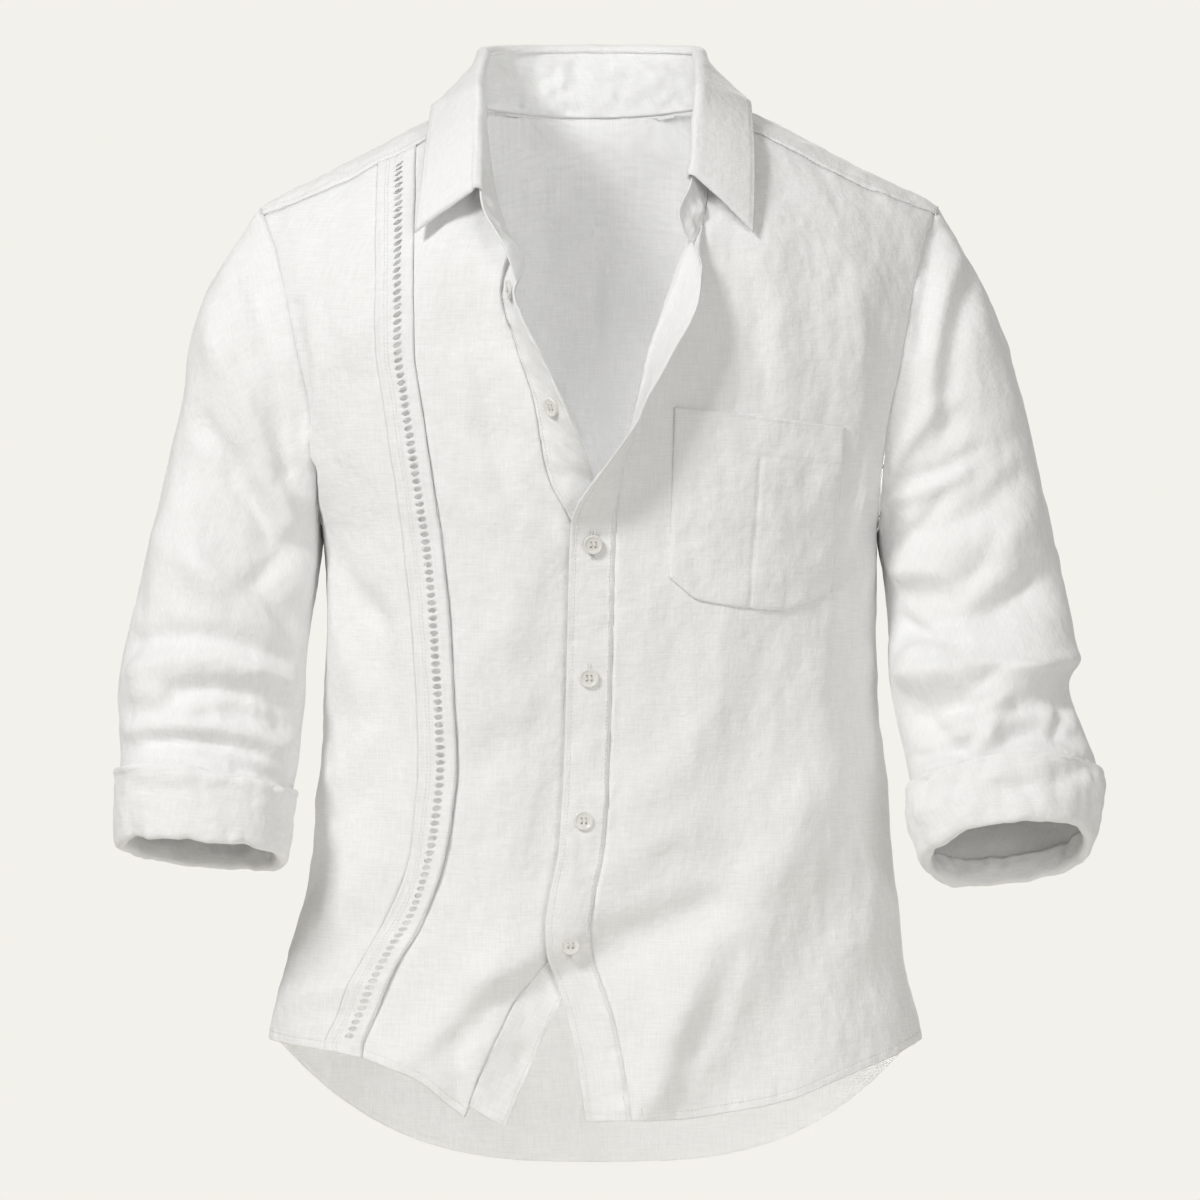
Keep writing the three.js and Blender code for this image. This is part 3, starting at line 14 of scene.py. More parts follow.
import bpy
import numpy as np
from mathutils import Matrix, Vector

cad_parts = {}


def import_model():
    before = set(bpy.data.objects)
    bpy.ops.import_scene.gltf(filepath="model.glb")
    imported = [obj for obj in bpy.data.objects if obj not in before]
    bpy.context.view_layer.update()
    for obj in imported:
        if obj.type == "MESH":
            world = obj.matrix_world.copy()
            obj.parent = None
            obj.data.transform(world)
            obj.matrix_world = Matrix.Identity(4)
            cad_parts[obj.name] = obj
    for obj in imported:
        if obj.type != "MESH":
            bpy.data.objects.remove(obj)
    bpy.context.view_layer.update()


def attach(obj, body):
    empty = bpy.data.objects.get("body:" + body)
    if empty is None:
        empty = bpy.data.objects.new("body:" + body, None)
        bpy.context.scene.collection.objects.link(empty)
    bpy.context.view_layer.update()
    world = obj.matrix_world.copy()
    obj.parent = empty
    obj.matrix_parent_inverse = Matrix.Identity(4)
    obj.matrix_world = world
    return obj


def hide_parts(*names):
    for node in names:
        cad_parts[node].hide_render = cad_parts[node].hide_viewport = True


LOG = logging.getLogger("shirt")
MM = 0.001
Array = np.ndarray
Table = dict[str, Array]


class Side(Enum):
    """The wearer's two sides, with the sign of X on each."""

    RIGHT = -1
    LEFT = 1


class Face(Enum):
    """The two faces of the body, with the sign of Y on each."""

    FRONT = -1
    BACK = 1


def table(columns: str, text: str) -> Table:
    """Reads a table of named columns.

    Args:
        columns: The columns' names, with a space between them.
        text: The rows, in the order of the names, parted by semicolons or line ends.
            A line that starts with # is a comment.

    Returns:
        Each column's values by its name.
    """
    lines = [line for line in text.splitlines() if not line.strip().startswith("#")]
    rows = [row.split() for line in lines for row in line.split(";") if row.strip()]
    return dict(zip(columns.split(), np.array(rows, float).T))


# ---- tables of the cut

CENTRE_X = 3.0
SECTION_POWER = 2.4
ARCH_HEIGHT = 150.0
ARCH_POWER = 1.7
ARMPIT_Z = -294.0
SIDE_HEM_Z = -645.0
STRIP_FOOT_Z = -690.0
HEM_LEVEL = -650.0
BACK_TAIL = 100.0
PLACKET_WIDTH = 31.0
ROLL_WIDTH = 8.0
UNDERLAP = 4.5
UNDERLAP_REACH = 45.0
UNDERLAP_TOP = -225.0
UNDERLAP_DROP = 37.0
TRIM_LEFT = 15.0
TRIM_RIGHT = 11.0
FOLDED = 2.2
PANEL_EASE = 0.4
STRIP_EASE = 0.7
ARMHOLE_EASE = 1.35
ARMHOLE_FRONT_TOP = -71.0
ARMHOLE_BACK_TOP = -96.0
LEAF_BULGE = 1.5
SLEEVE_POWER = 2.3
NECK_SHARE = 4 / 11  # of the rows over the armpit that lie beside the neck seam
RIGHT_STRIP_SHARE = 0.27
LEFT_STRIP_SHARE = 0.36
LEFT_TURN_LENGTH = 10.0
NECK_STEPS = 32  # of the grids along each front's neck seam beyond its edge strip
STRIP_STEPS = 31  # across an edge strip
RAY_START = -0.4  # metres ahead of the shirt, from where the pocket is laid on it
CHEST_FRONT = -118.0
MERGE_REACH = 0.02  # points this close, in millimetres, are one

TORSO = table("z right left front back", """
    -66 249 248 118 104; -123 239 238 120 106; -190 225 225 122 108; -250 208 208 122 108
    -280 196 197 121 107; -294 192.5 193.5 120 106; -340 190 194 117 102; -395 192 194 112 98
    -451 195 199 107 96; -507 199 204 105 98; -549 207 208 104 101; -591 218 214 103 104
    -647 230 224.5 102 107; -760 237 232 102 110
    """)
RIDGE = table("out z", "0 15; 80 13; 100 8; 127 -3.5; 182 -31.5; 208 -45.5; 238 -65")
ARMHOLE = table("z out", "-65 237; -90 227; -125 217.5; -183 206; -222 198.5; -255 195; -294 194")
SHOULDER_SEAM = table("out z", "78 -6; 105 -15; 142 -32; 182 -52; 234.5 -71")
BACK_JOIN = table("out z", "0 -80; 120 -83; 226 -96")
HEM_RIGHT = table("x z", "-227 -645; -171 -650; -131 -661; -112 -669; -90 -683; -60 -697.5")
HEM_LEFT = table("x z", "-5 -694; 25 -693; 51 -693; 84 -689; 124 -682; 167 -667; 207 -653; 227.5 -645")
LADDER = table("z x", """
    -30 -134.7; -135 -134.5; -170 -134; -204 -129; -299 -115.5; -353 -110; -407 -106.7
    -448 -105.3; -489 -108.7; -523 -115.5; -557 -129; -591 -147.5; -642 -170
    """)
EDGE_LEFT = table("z root turn", """
    -694 33 0; -652 27 0; -624 21 0; -601 13.5 0; -580 6.5 0; -562 5.5 0; -538 8.8 0
    -511 14.2 0; -463 17.5 0; -300 22 0; -287 22.5 10; -258 25.5 55; -224 32 88; -170 43 114
    -136 52 137; -116 58 140; -72 72 140
    """)
EDGE_RIGHT = table("z root a b c d e", """
    -698 -91.5 0 0 0 0 0; -669 -80.6 0 0 0 0 0; -631 -63.5 0 0 0 0 0; -613 -54.7 0 0 0 0 0
    -590 -36 0 0 0 0 0; -560 -13 0 0 0 0 0; -300 -13 0 0 0 0 0; -258 -31 0 0 0 0 0
    -246 -34.5 8 14 16 16 16; -204 -42 30 52 56 56 56; -170 -53.5 40 62 66 68 68
    -129 -65 45 78 82 86 90; -93 -58 45 65 75 80 80
    """)
RIGHT_STRIP_STEPS = np.array([0, 6, 12, 18, 24, 31.0])
NECK_RIGHT = table("x y z topX topY topZ", """
    -54 -131 -125 -56 -134 -120; -49 -115 -108 -65 -130 -95; -59 -101 -92 -73 -121 -79
    -67 -90 -68 -77.5 -108 -62; -73 -71 -36 -79 -92 -26; -76 -47.5 -6 -79 -66 10
    """)
NECK_BACK = table("x y z topX topY topZ", """
    -76 -47.5 -6 -79 -66 10; -79 0 11 -77 -12 36; -77 42 8.5 -73 45 47.5; -45 72 6.5 -45 76 52
    -2 79 5.5 -2 84 53; 41 72 6.5 41 76 52; 73 42 8.5 70 45 47.5; 80 0 10 72 -12 36
    82 -47.5 -6 71 -64 10
    """)
NECK_LEFT = table("x y z topX topY topZ", """
    82 -47.5 -6 71 -64 10; 80 -70 -36 68.5 -90 -26; 77 -90 -64 64.5 -107 -58
    73 -106 -84 56.5 -118 -77; 67 -118 -99 60 -120 -91
    """)
LEAF_RIGHT = table("x y z", "-122 -104 -90; -118 -86 -55; -116 -57 -24; -113 -24 4")
LEAF_BACK = table("x y z", """
    -113 -24 4; -108 18 9; -92 58 3; -48 88 -3; -2 95 -4; 44 88 -3; 88 58 3; 105 18 11
    108 -24 7
    """)
LEAF_LEFT = table("x y z", "108 -24 7; 109 -60 -16; 109 -90 -54; 107.5 -106 -90")
SLEEVE_RIGHT = table("outX outZ inX inZ y half tilt", """
    -272 -126 -191.5 -306 -6 57 0; -288 -200 -194 -323 -10 56 0; -303 -270 -196.5 -347 -16 55 2
    -318 -336 -200 -374 -26 54 5; -329 -395 -202 -409 -40 53 10; -327 -440 -206 -455 -54 51 13
    -325 -475 -212 -487 -65 50 14; -324 -505 -215 -514 -75 50 14
    """)
SLEEVE_LEFT = table("outX outZ inX inZ y half tilt", """
    272 -123 198.5 -306 -6 57 0; 294.5 -189 201.5 -322 -10 56 0; 310 -256 203 -347 -18 55 3
    323 -319 203 -378 -30 54 8; 331 -374 207 -409 -48 53 16; 326 -405 211 -431 -58 52.5 20
    337 -436 215 -458 -72 52 24; 344 -466 217 -484 -86 51 27; 336 -503 226 -514 -101 49 29
    """)
POCKET_SIDES = table("up inner outer", "0 50 162; 1 53.7 170.5")
POCKET_TOP = (-209.0, -222.0)  # its inner and outer top corners
POCKET_FOOT = table("along z", "0 -324.5; 0.2 -340.5; 0.7 -347; 0.8 -343.5; 1 -334")

# The large folds that the solids have too.
FOLDS = table("face x1 z1 x2 z2 bend width depth lean", """
    -1 128 -520 40 -660 0 27 7 0; -1 140 -590 92 -680 0 26 -5 0; -1 98 -545 26 -575 0 24 -5 0
    -1 -36 -560 -104 -650 0 25 6 0; -1 -10 -600 -70 -680 0 24 -4 0
    -1 -276 -256 -212 -366 0 18 -6 0; -1 -300 -300 -222 -352 0 16 4 0
    -1 -320 -412 -216 -424 0 15 -5 0; -1 215 -352 290 -334 0 17 -6 0
    -1 206 -312 262 -292 0 16 5 0; -1 218 -384 316 -378 0 16 5 0; -1 218 -416 318 -406 0 14 -5 0
    1 -150 -330 -60 -470 0 28 -4 0; 1 165 -320 70 -450 0 27 -5 0; 1 -60 -520 -110 -680 0 30 6 0
    1 40 -490 95 -660 0 32 6 0; 1 -300 -330 -216 -386 0 17 -5 0; 1 -316 -410 -220 -420 0 15 4 0
    1 308 -306 216 -372 0 18 -5 0; 1 314 -398 220 -412 0 14 4 0
    """)

# ---- small helpers


def smooth(t: Array | float) -> Array:
    """Returns an even rise from 0 to 1 as t goes from 0 to 1."""
    t = np.clip(t, 0, 1)
    return t * t * (3 - 2 * t)


def signed_power(value: Array, power: float) -> Array:
    """Returns the power of a value's size, with the value's sign."""
    return np.sign(value) * np.abs(value) ** power


def unit(vectors: Array) -> Array:
    """Returns vectors of length 1, and leaves those of no length as they are."""
    length = np.linalg.norm(vectors, axis=-1, keepdims=True)
    return vectors / np.maximum(length, 1e-9)


def mix(a: Array | float, b: Array | float, t: Array | float) -> Array | float:
    """Returns the place a share t of the way from a to b."""
    return a + (b - a) * t


def neighbours(knots: Array, places: Array) -> tuple[list[Array], Array]:
    """Picks the four rows round places among rows, with a row added past each end.

    Args:
        knots: The rows, as an (S, K, 3) array.
        places: The places, where place 1 is the second row.

    Returns:
        The four rows for each place, and how far it lies past the second of them.
    """
    padded = np.concatenate([2 * knots[:1] - knots[1:2], knots, 2 * knots[-1:] - knots[-2:-1]])
    i = np.clip(np.floor(places).astype(int), 0, len(knots) - 2)
    return [padded[i + k] for k in range(4)], (places - i)[:, None, None]


def hermite(x1: Array, x2: Array, m1: Array, m2: Array, t: Array) -> Array:
    """Returns the points a share t of the way from x1 to x2, with slopes m1 and m2."""
    curve = x1 + m1 * t + (-3 * x1 + 3 * x2 - 2 * m1 - m2) * t**2
    return curve + (2 * x1 - 2 * x2 + m1 + m2) * t**3


def loft(knots: Array, places: Array) -> Array:
    """Runs smooth lines through the same point of several rows.

    Args:
        knots: The rows, as an (S, K, 3) array.
        places: Where to read the lines, where place 1 is the second row.

    Returns:
        A grid with a row for each place.
    """
    (x0, x1, x2, x3), t = neighbours(knots, places)
    d0, d1, d2 = (
        np.sqrt(np.maximum(np.linalg.norm(b - a, axis=-1, keepdims=True), 1e-6))
        for a, b in ((x0, x1), (x1, x2), (x2, x3))
    )
    m1 = ((x1 - x0) / d0 - (x2 - x0) / (d0 + d1) + (x2 - x1) / d1) * d1
    m2 = ((x2 - x1) / d1 - (x3 - x1) / (d1 + d2) + (x3 - x2) / d2) * d1
    return hermite(x1, x2, m1, m2, t)


class Track:
    """A smooth curve, with no overshoot, through one column of a table."""

    def __init__(self, rows: Table, along: str, column: str) -> None:
        """Fits the curve.

        Args:
            rows: The table.
            along: The column that it is read against.
            column: The column that it goes through.
        """
        order = np.argsort(rows[along])
        self.xs = rows[along][order]
        self.ys = rows[column][order]
        chords = np.diff(self.ys) / np.diff(self.xs)
        before, after = chords[:-1], chords[1:]
        product = before * after
        total = np.where(product > 0, before + after, 1)
        inner = np.where(product > 0, 2 * product / total, 0)
        self.slopes = np.concatenate([chords[:1], inner, chords[-1:]])

    def __call__(self, at: Array | float) -> Array:
        """Returns the curve's heights at these places, held level past its ends.

        Args:
            at: Where to read it.

        Returns:
            The heights.
        """
        x = np.clip(at, self.xs[0], self.xs[-1])
        i = np.clip(np.searchsorted(self.xs, x, side="left") - 1, 0, len(self.xs) - 2)
        width = self.xs[i + 1] - self.xs[i]
        t = (x - self.xs[i]) / width
        rise = self.ys[i + 1] - self.ys[i]
        start = self.slopes[i] * width - rise
        end = -self.slopes[i + 1] * width + rise
        return self.ys[i] + rise * t + t * (1 - t) * ((1 - t) * start + t * end)


class Curve:
    """A smooth curve through points, read by the share of its length."""

    def __init__(self, points: Array) -> None:
        """Fits the curve through an (N, 3) array of points.

        Args:
            points: The points, as an (N, 3) array.
        """
        self.points = points
        self.places = np.linspace(0, len(points) - 1, 60 * len(points))
        steps = np.diff(self.point(self.places), axis=0)
        self.reached = np.concatenate([[0], np.cumsum(np.linalg.norm(steps, axis=1))])

    @classmethod
    def through(cls, rows: Table, columns: str = "x y z") -> "Curve":
        """Makes a curve through three columns of a table."""
        return cls(np.stack([rows[name] for name in columns.split()], axis=-1))

    def point(self, place: Array) -> Array:
        """Returns points by place, where place 1 is the second of the fitted points."""
        return loft(self.points[:, None], place)[:, 0]

    def at(self, shares: Array) -> Array:
        """Returns the points at these shares of the curve's length."""
        wanted = np.clip(shares, 0, 1) * self.reached[-1]
        return self.point(np.interp(wanted, self.reached, self.places))


def coons(foot: Array, top: Array, left: Array, right: Array, u: Array, v: Array) -> Array:
    """Fills the patch between four edges that share their corners.

    Args:
        foot: Points along the lower edge.
        top: Points along the upper edge.
        left: Points up the first edge.
        right: Points up the last edge.
        u: The columns' shares across the patch.
        v: The rows' shares up the patch.

    Returns:
        A grid of points, rows first.
    """
    u = u[None, :, None]
    v = v[:, None, None]
    ruled = foot[None] * (1 - v) + top[None] * v
    ruled = ruled + left[:, None] * (1 - u) + right[:, None] * u
    corners = (
        foot[0] * (1 - u) * (1 - v)
        + foot[-1] * u * (1 - v)
        + top[0] * (1 - u) * v
        + top[-1] * u * v
    )
    return ruled - corners


# ---- the plain body


@dataclass
class Body:
    """The filled-out body that the panels lie on, without its folds."""

    half: dict[Side, Track] = field(init=False)
    depth: dict[Face, Track] = field(init=False)

    def __post_init__(self) -> None:
        """Fits the curves of its tables."""
        self.half = {side: Track(TORSO, "z", side.name.lower()) for side in Side}
        self.depth = {face: Track(TORSO, "z", face.name.lower()) for face in Face}
        self.ridge = Track(RIDGE, "out", "z")
        self.armhole_out = Track(ARMHOLE, "z", "out")
        self.shoulder_seam = Track(SHOULDER_SEAM, "out", "z")
        self.back_join = Track(BACK_JOIN, "out", "z")
        hems = {Side.RIGHT: HEM_RIGHT, Side.LEFT: HEM_LEFT}
        self.hem = {side: Track(rows, "x", "z") for side, rows in hems.items()}
        self.ladder_x = Track(LADDER, "z", "x")
        edges = {Side.RIGHT: EDGE_RIGHT, Side.LEFT: EDGE_LEFT}
        self.root = {side: Track(rows, "z", "root") for side, rows in edges.items()}
        self.turn_left = Track(EDGE_LEFT, "z", "turn")
        self.turns_right = [Track(EDGE_RIGHT, "z", name) for name in "abcde"]

    def half_width(self, x: Array, z: Array) -> Array:
        """Returns the section's half width on x's side of the centre."""
        right, left = self.half[Side.RIGHT](z), self.half[Side.LEFT](z)
        return np.where(x < CENTRE_X, right, left)

    def section_share(self, x: Array, z: Array) -> Array:
        """Returns the share of the full depth that a level section has at x."""
        share = np.clip(np.abs(x - CENTRE_X) / self.half_width(x, z), 0, 1)
        return (1 - share**SECTION_POWER) ** (1 / SECTION_POWER)

    def arch_share(self, x: Array, z: Array) -> Array:
        """Returns the share of the full depth reached below the shoulder ridge.

        Args:
            x: Places across.
            z: Their heights.

        Returns:
            A share for each place.
        """
        ridge = self.ridge(np.abs(x - CENTRE_X))
        drop = np.clip((ridge - z) / ARCH_HEIGHT, 0, 1)
        return (1 - (1 - drop) ** ARCH_POWER) ** (1 / ARCH_POWER)

    def point(self, face: Face, x: Array, z: Array) -> Array:
        """Returns the body's points over places seen from the front or the back.

        Args:
            face: Front or back.
            x: Places across.
            z: Their heights.

        Returns:
            The points.
        """
        x, z = np.broadcast_arrays(np.asarray(x, float), np.asarray(z, float))
        depth = self.depth[face](z) * self.section_share(x, z) * self.arch_share(x, z)
        return np.stack([x, face.value * depth, z], axis=-1)

    def shoulder_height(self, x: Array, y: Array) -> Array:
        """Returns the height of the shoulders over places of the plan.

        Args:
            x: Places across.
            y: Places ahead (-) or behind.

        Returns:
            The heights.
        """
        level = TORSO["z"][0]
        full = np.where(y < 0, self.depth[Face.FRONT](level), self.depth[Face.BACK](level))
        depth = full * self.section_share(x, np.full_like(x, level))
        share = np.clip(np.abs(y) / np.maximum(depth, 1), 0, 1)
        drop = 1 - (1 - share**ARCH_POWER) ** (1 / ARCH_POWER)
        return self.ridge(np.abs(x - CENTRE_X)) - ARCH_HEIGHT * drop

    def front(self, side: Side, x: Array, z: Array) -> Array:
        """Returns points of a front; the right one draws back under the left one.

        Args:
            side: Which front.
            x: Places across.
            z: Their heights.

        Returns:
            The points.
        """
        points = self.point(Face.FRONT, x, z)
        if side is Side.RIGHT:
            free = self.root[Side.LEFT](z) - ROLL_WIDTH - PLACKET_WIDTH
            reach = smooth((x - free + UNDERLAP_REACH) / UNDERLAP_REACH)
            points[..., 1] += UNDERLAP * reach * smooth((UNDERLAP_TOP - z) / UNDERLAP_DROP)
        return points

    def angle_at(self, side: Side, x: Array, z: Array) -> Array:
        """Returns the place round a section, from 0 at the side seam."""
        share = np.clip(side.value * (x - CENTRE_X) / self.half[side](z), 0, 1)
        return np.arccos(share ** (SECTION_POWER / 2))

    def x_at_angle(self, side: Side, angle: Array, z: Array) -> Array:
        """Returns x at a place round a section.

        Args:
            side: The side that the angle starts from.
            angle: The place round the section.
            z: The heights.

        Returns:
            The places across.
        """
        share = signed_power(np.cos(angle), 2 / SECTION_POWER)
        other = Side.LEFT if side is Side.RIGHT else Side.RIGHT
        half = np.where(share < 0, self.half[other](z), self.half[side](z))
        return CENTRE_X + side.value * half * share

    def column_x(self, side: Side, z: Array, from_x: Array, to_x: Array, share: Array) -> Array:
        """Returns x of a column that divides the section between two lines."""
        start, end = self.angle_at(side, from_x, z), self.angle_at(side, to_x, z)
        return self.x_at_angle(side, mix(start, end, share), z)

    def strip_turn(self, side: Side, z: Array, across: Array) -> Array:
        """Returns how far an edge strip has turned out of its front, in degrees.

        Args:
            side: Which front.
            z: The heights.
            across: How far across the strip.

        Returns:
            The angles.
        """
        if side is Side.LEFT:
            return self.turn_left(z) * smooth(across / LEFT_TURN_LENGTH)
        levels = np.stack([np.zeros_like(z), *(track(z) for track in self.turns_right)])
        i = np.clip(np.searchsorted(RIGHT_STRIP_STEPS, across, side="left") - 1, 0, 4)
        width = RIGHT_STRIP_STEPS[i + 1] - RIGHT_STRIP_STEPS[i]
        share = (across - RIGHT_STRIP_STEPS[i]) / width
        pick = np.arange(len(z))
        return mix(levels[i, pick], levels[i + 1, pick], share)

    def strip_point(self, side: Side, z: Array, across: float) -> Array:
        """Returns points of an edge strip, a distance along the cloth from its root.

        Args:
            side: Which front.
            z: The heights.
            across: The distance from the root.

        Returns:
            The points.
        """
        z = np.asarray(z, float)
        root = self.root[side](z)
        point = self.front(side, root, z)
        inward = self.front(side, root - side.value, z) - point
        inward[..., 2] = 0
        inward = unit(inward)
        outward = np.stack(
            [side.value * inward[..., 1], -side.value * inward[..., 0], np.zeros_like(z)], -1
        )
        outward = np.where(outward[..., 1:2] > 0, -outward, outward)
        count = max(1, math.ceil(across))
        stride = across / count
        for i in range(count):
            place = np.full_like(z, (i + 0.5) * stride)
            turn = np.radians(self.strip_turn(side, z, place))[..., None]
            point = point + (inward * np.cos(turn) + outward * np.sin(turn)) * stride
        return point

    def armhole(self, side: Side, face: Face, shares: Array) -> Array:
        """Returns the armhole's edge on one face, up from the armpit.

        Args:
            side: Which armhole.
            face: Front or back.
            shares: Shares of its height.

        Returns:
            The points.
        """
        top = ARMHOLE_FRONT_TOP if face is Face.FRONT else ARMHOLE_BACK_TOP
        z = mix(ARMPIT_Z, top, shares**ARMHOLE_EASE)
        out = np.minimum(self.armhole_out(z), self.half[side](z))
        return self.point(face, CENTRE_X + side.value * out, z)


# ---- grids of the panels


def close_steps(length: float, edge: float, fine: float, coarse: float, both: bool) -> Array:
    """Shares along a length, close together near its start, and its end too if both.

    Args:
        length: The length to divide.
        edge: How much of each such end is divided finely.
        fine: The fine step.
        coarse: The step elsewhere.
        both: Whether the far end is divided finely too.

    Returns:
        Shares from 0 to 1.
    """
    ends = np.arange(0, edge, fine)
    stop = length - edge if both else length
    count = max(2, round((stop - edge) / coarse))
    middle = np.linspace(edge, stop, count + 1)
    parts = [ends, middle]
    if both:
        parts.append(length - ends[::-1])
    return np.concatenate(parts) / length


def girth(across: Array, ahead: Array) -> Array:
    """Returns how far round the body places lie from its front middle.

    Args:
        across: Their way to the left of the middle.
        ahead: Their way to the front.

    Returns:
        The distances along an ellipse of the body's mean section.
    """
    turn = np.linspace(-math.pi, math.pi, 721)
    wide, deep = 205.0, 112.0
    steps = np.hypot(wide * np.cos(turn[:-1]), deep * np.sin(turn[:-1])) * (turn[1] - turn[0])
    reached = np.concatenate([[0], np.cumsum(steps)])
    return np.interp(np.arctan2(across / wide, ahead / deep), turn, reached)


@dataclass
class Panel:
    """A patch of cloth as a grid of points on its outer face."""

    name: str
    piece: str
    rows: Array
    flip: bool = False
    closed: bool = False
    normals: Array | None = None
    flat: Array | None = None

    def grid_normals(self) -> Array:
        """Returns the outward normals of the grid's points.

        Returns:
            A unit vector for each point.
        """
        grid = self.rows
        following = np.roll(grid, -1, axis=1) if self.closed else grid[:, 1:]
        here = grid if self.closed else grid[:, :-1]
        face = np.cross(following[1:] - here[:-1], here[1:] - following[:-1])
        sums = np.zeros_like(grid)
        if self.closed:
            for shifted in (face, np.roll(face, 1, axis=1)):
                sums[:-1] += shifted
                sums[1:] += shifted
        else:
            sums[:-1, :-1] += face
            sums[:-1, 1:] += face
            sums[1:, 1:] += face
            sums[1:, :-1] += face
        return unit(sums) * (-1 if self.flip else 1)

    def border(self) -> tuple[Array, Array]:
        """Returns the row and column numbers of the points on the grid's border.

        Returns:
            The row numbers and the column numbers.
        """
        count, width = self.rows.shape[:2]
        mask = np.zeros((count, width), bool)
        mask[0] = mask[-1] = True
        if not self.closed:
            mask[:, 0] = mask[:, -1] = True
        return np.nonzero(mask)

    def places(self) -> Array:
        """Returns each point's place on the flat cloth, with the threads upright.

        Returns:
            Two distances for each point.
        """
        x, y, z = (self.rows[..., k] for k in range(3))
        if self.name == "shoulders":
            return np.stack([x, y], axis=-1)
        if self.piece.startswith(("front", "back", "ladder", "pocket")):
            return np.stack([girth(x - CENTRE_X, -y), z], axis=-1)
        return np.stack(self.spacing(), axis=-1)

    def spacing(self) -> tuple[Array, Array]:
        """Returns each point's distance along its row and up its column.

        Returns:
            The distances along and up.
        """
        across = np.linalg.norm(np.diff(self.rows, axis=1), axis=-1)
        along = np.linalg.norm(np.diff(self.rows, axis=0), axis=-1)
        u = np.pad(np.cumsum(across, axis=1), ((0, 0), (1, 0)))
        v = np.pad(np.cumsum(along, axis=0), ((1, 0), (0, 0)))
        return u, v


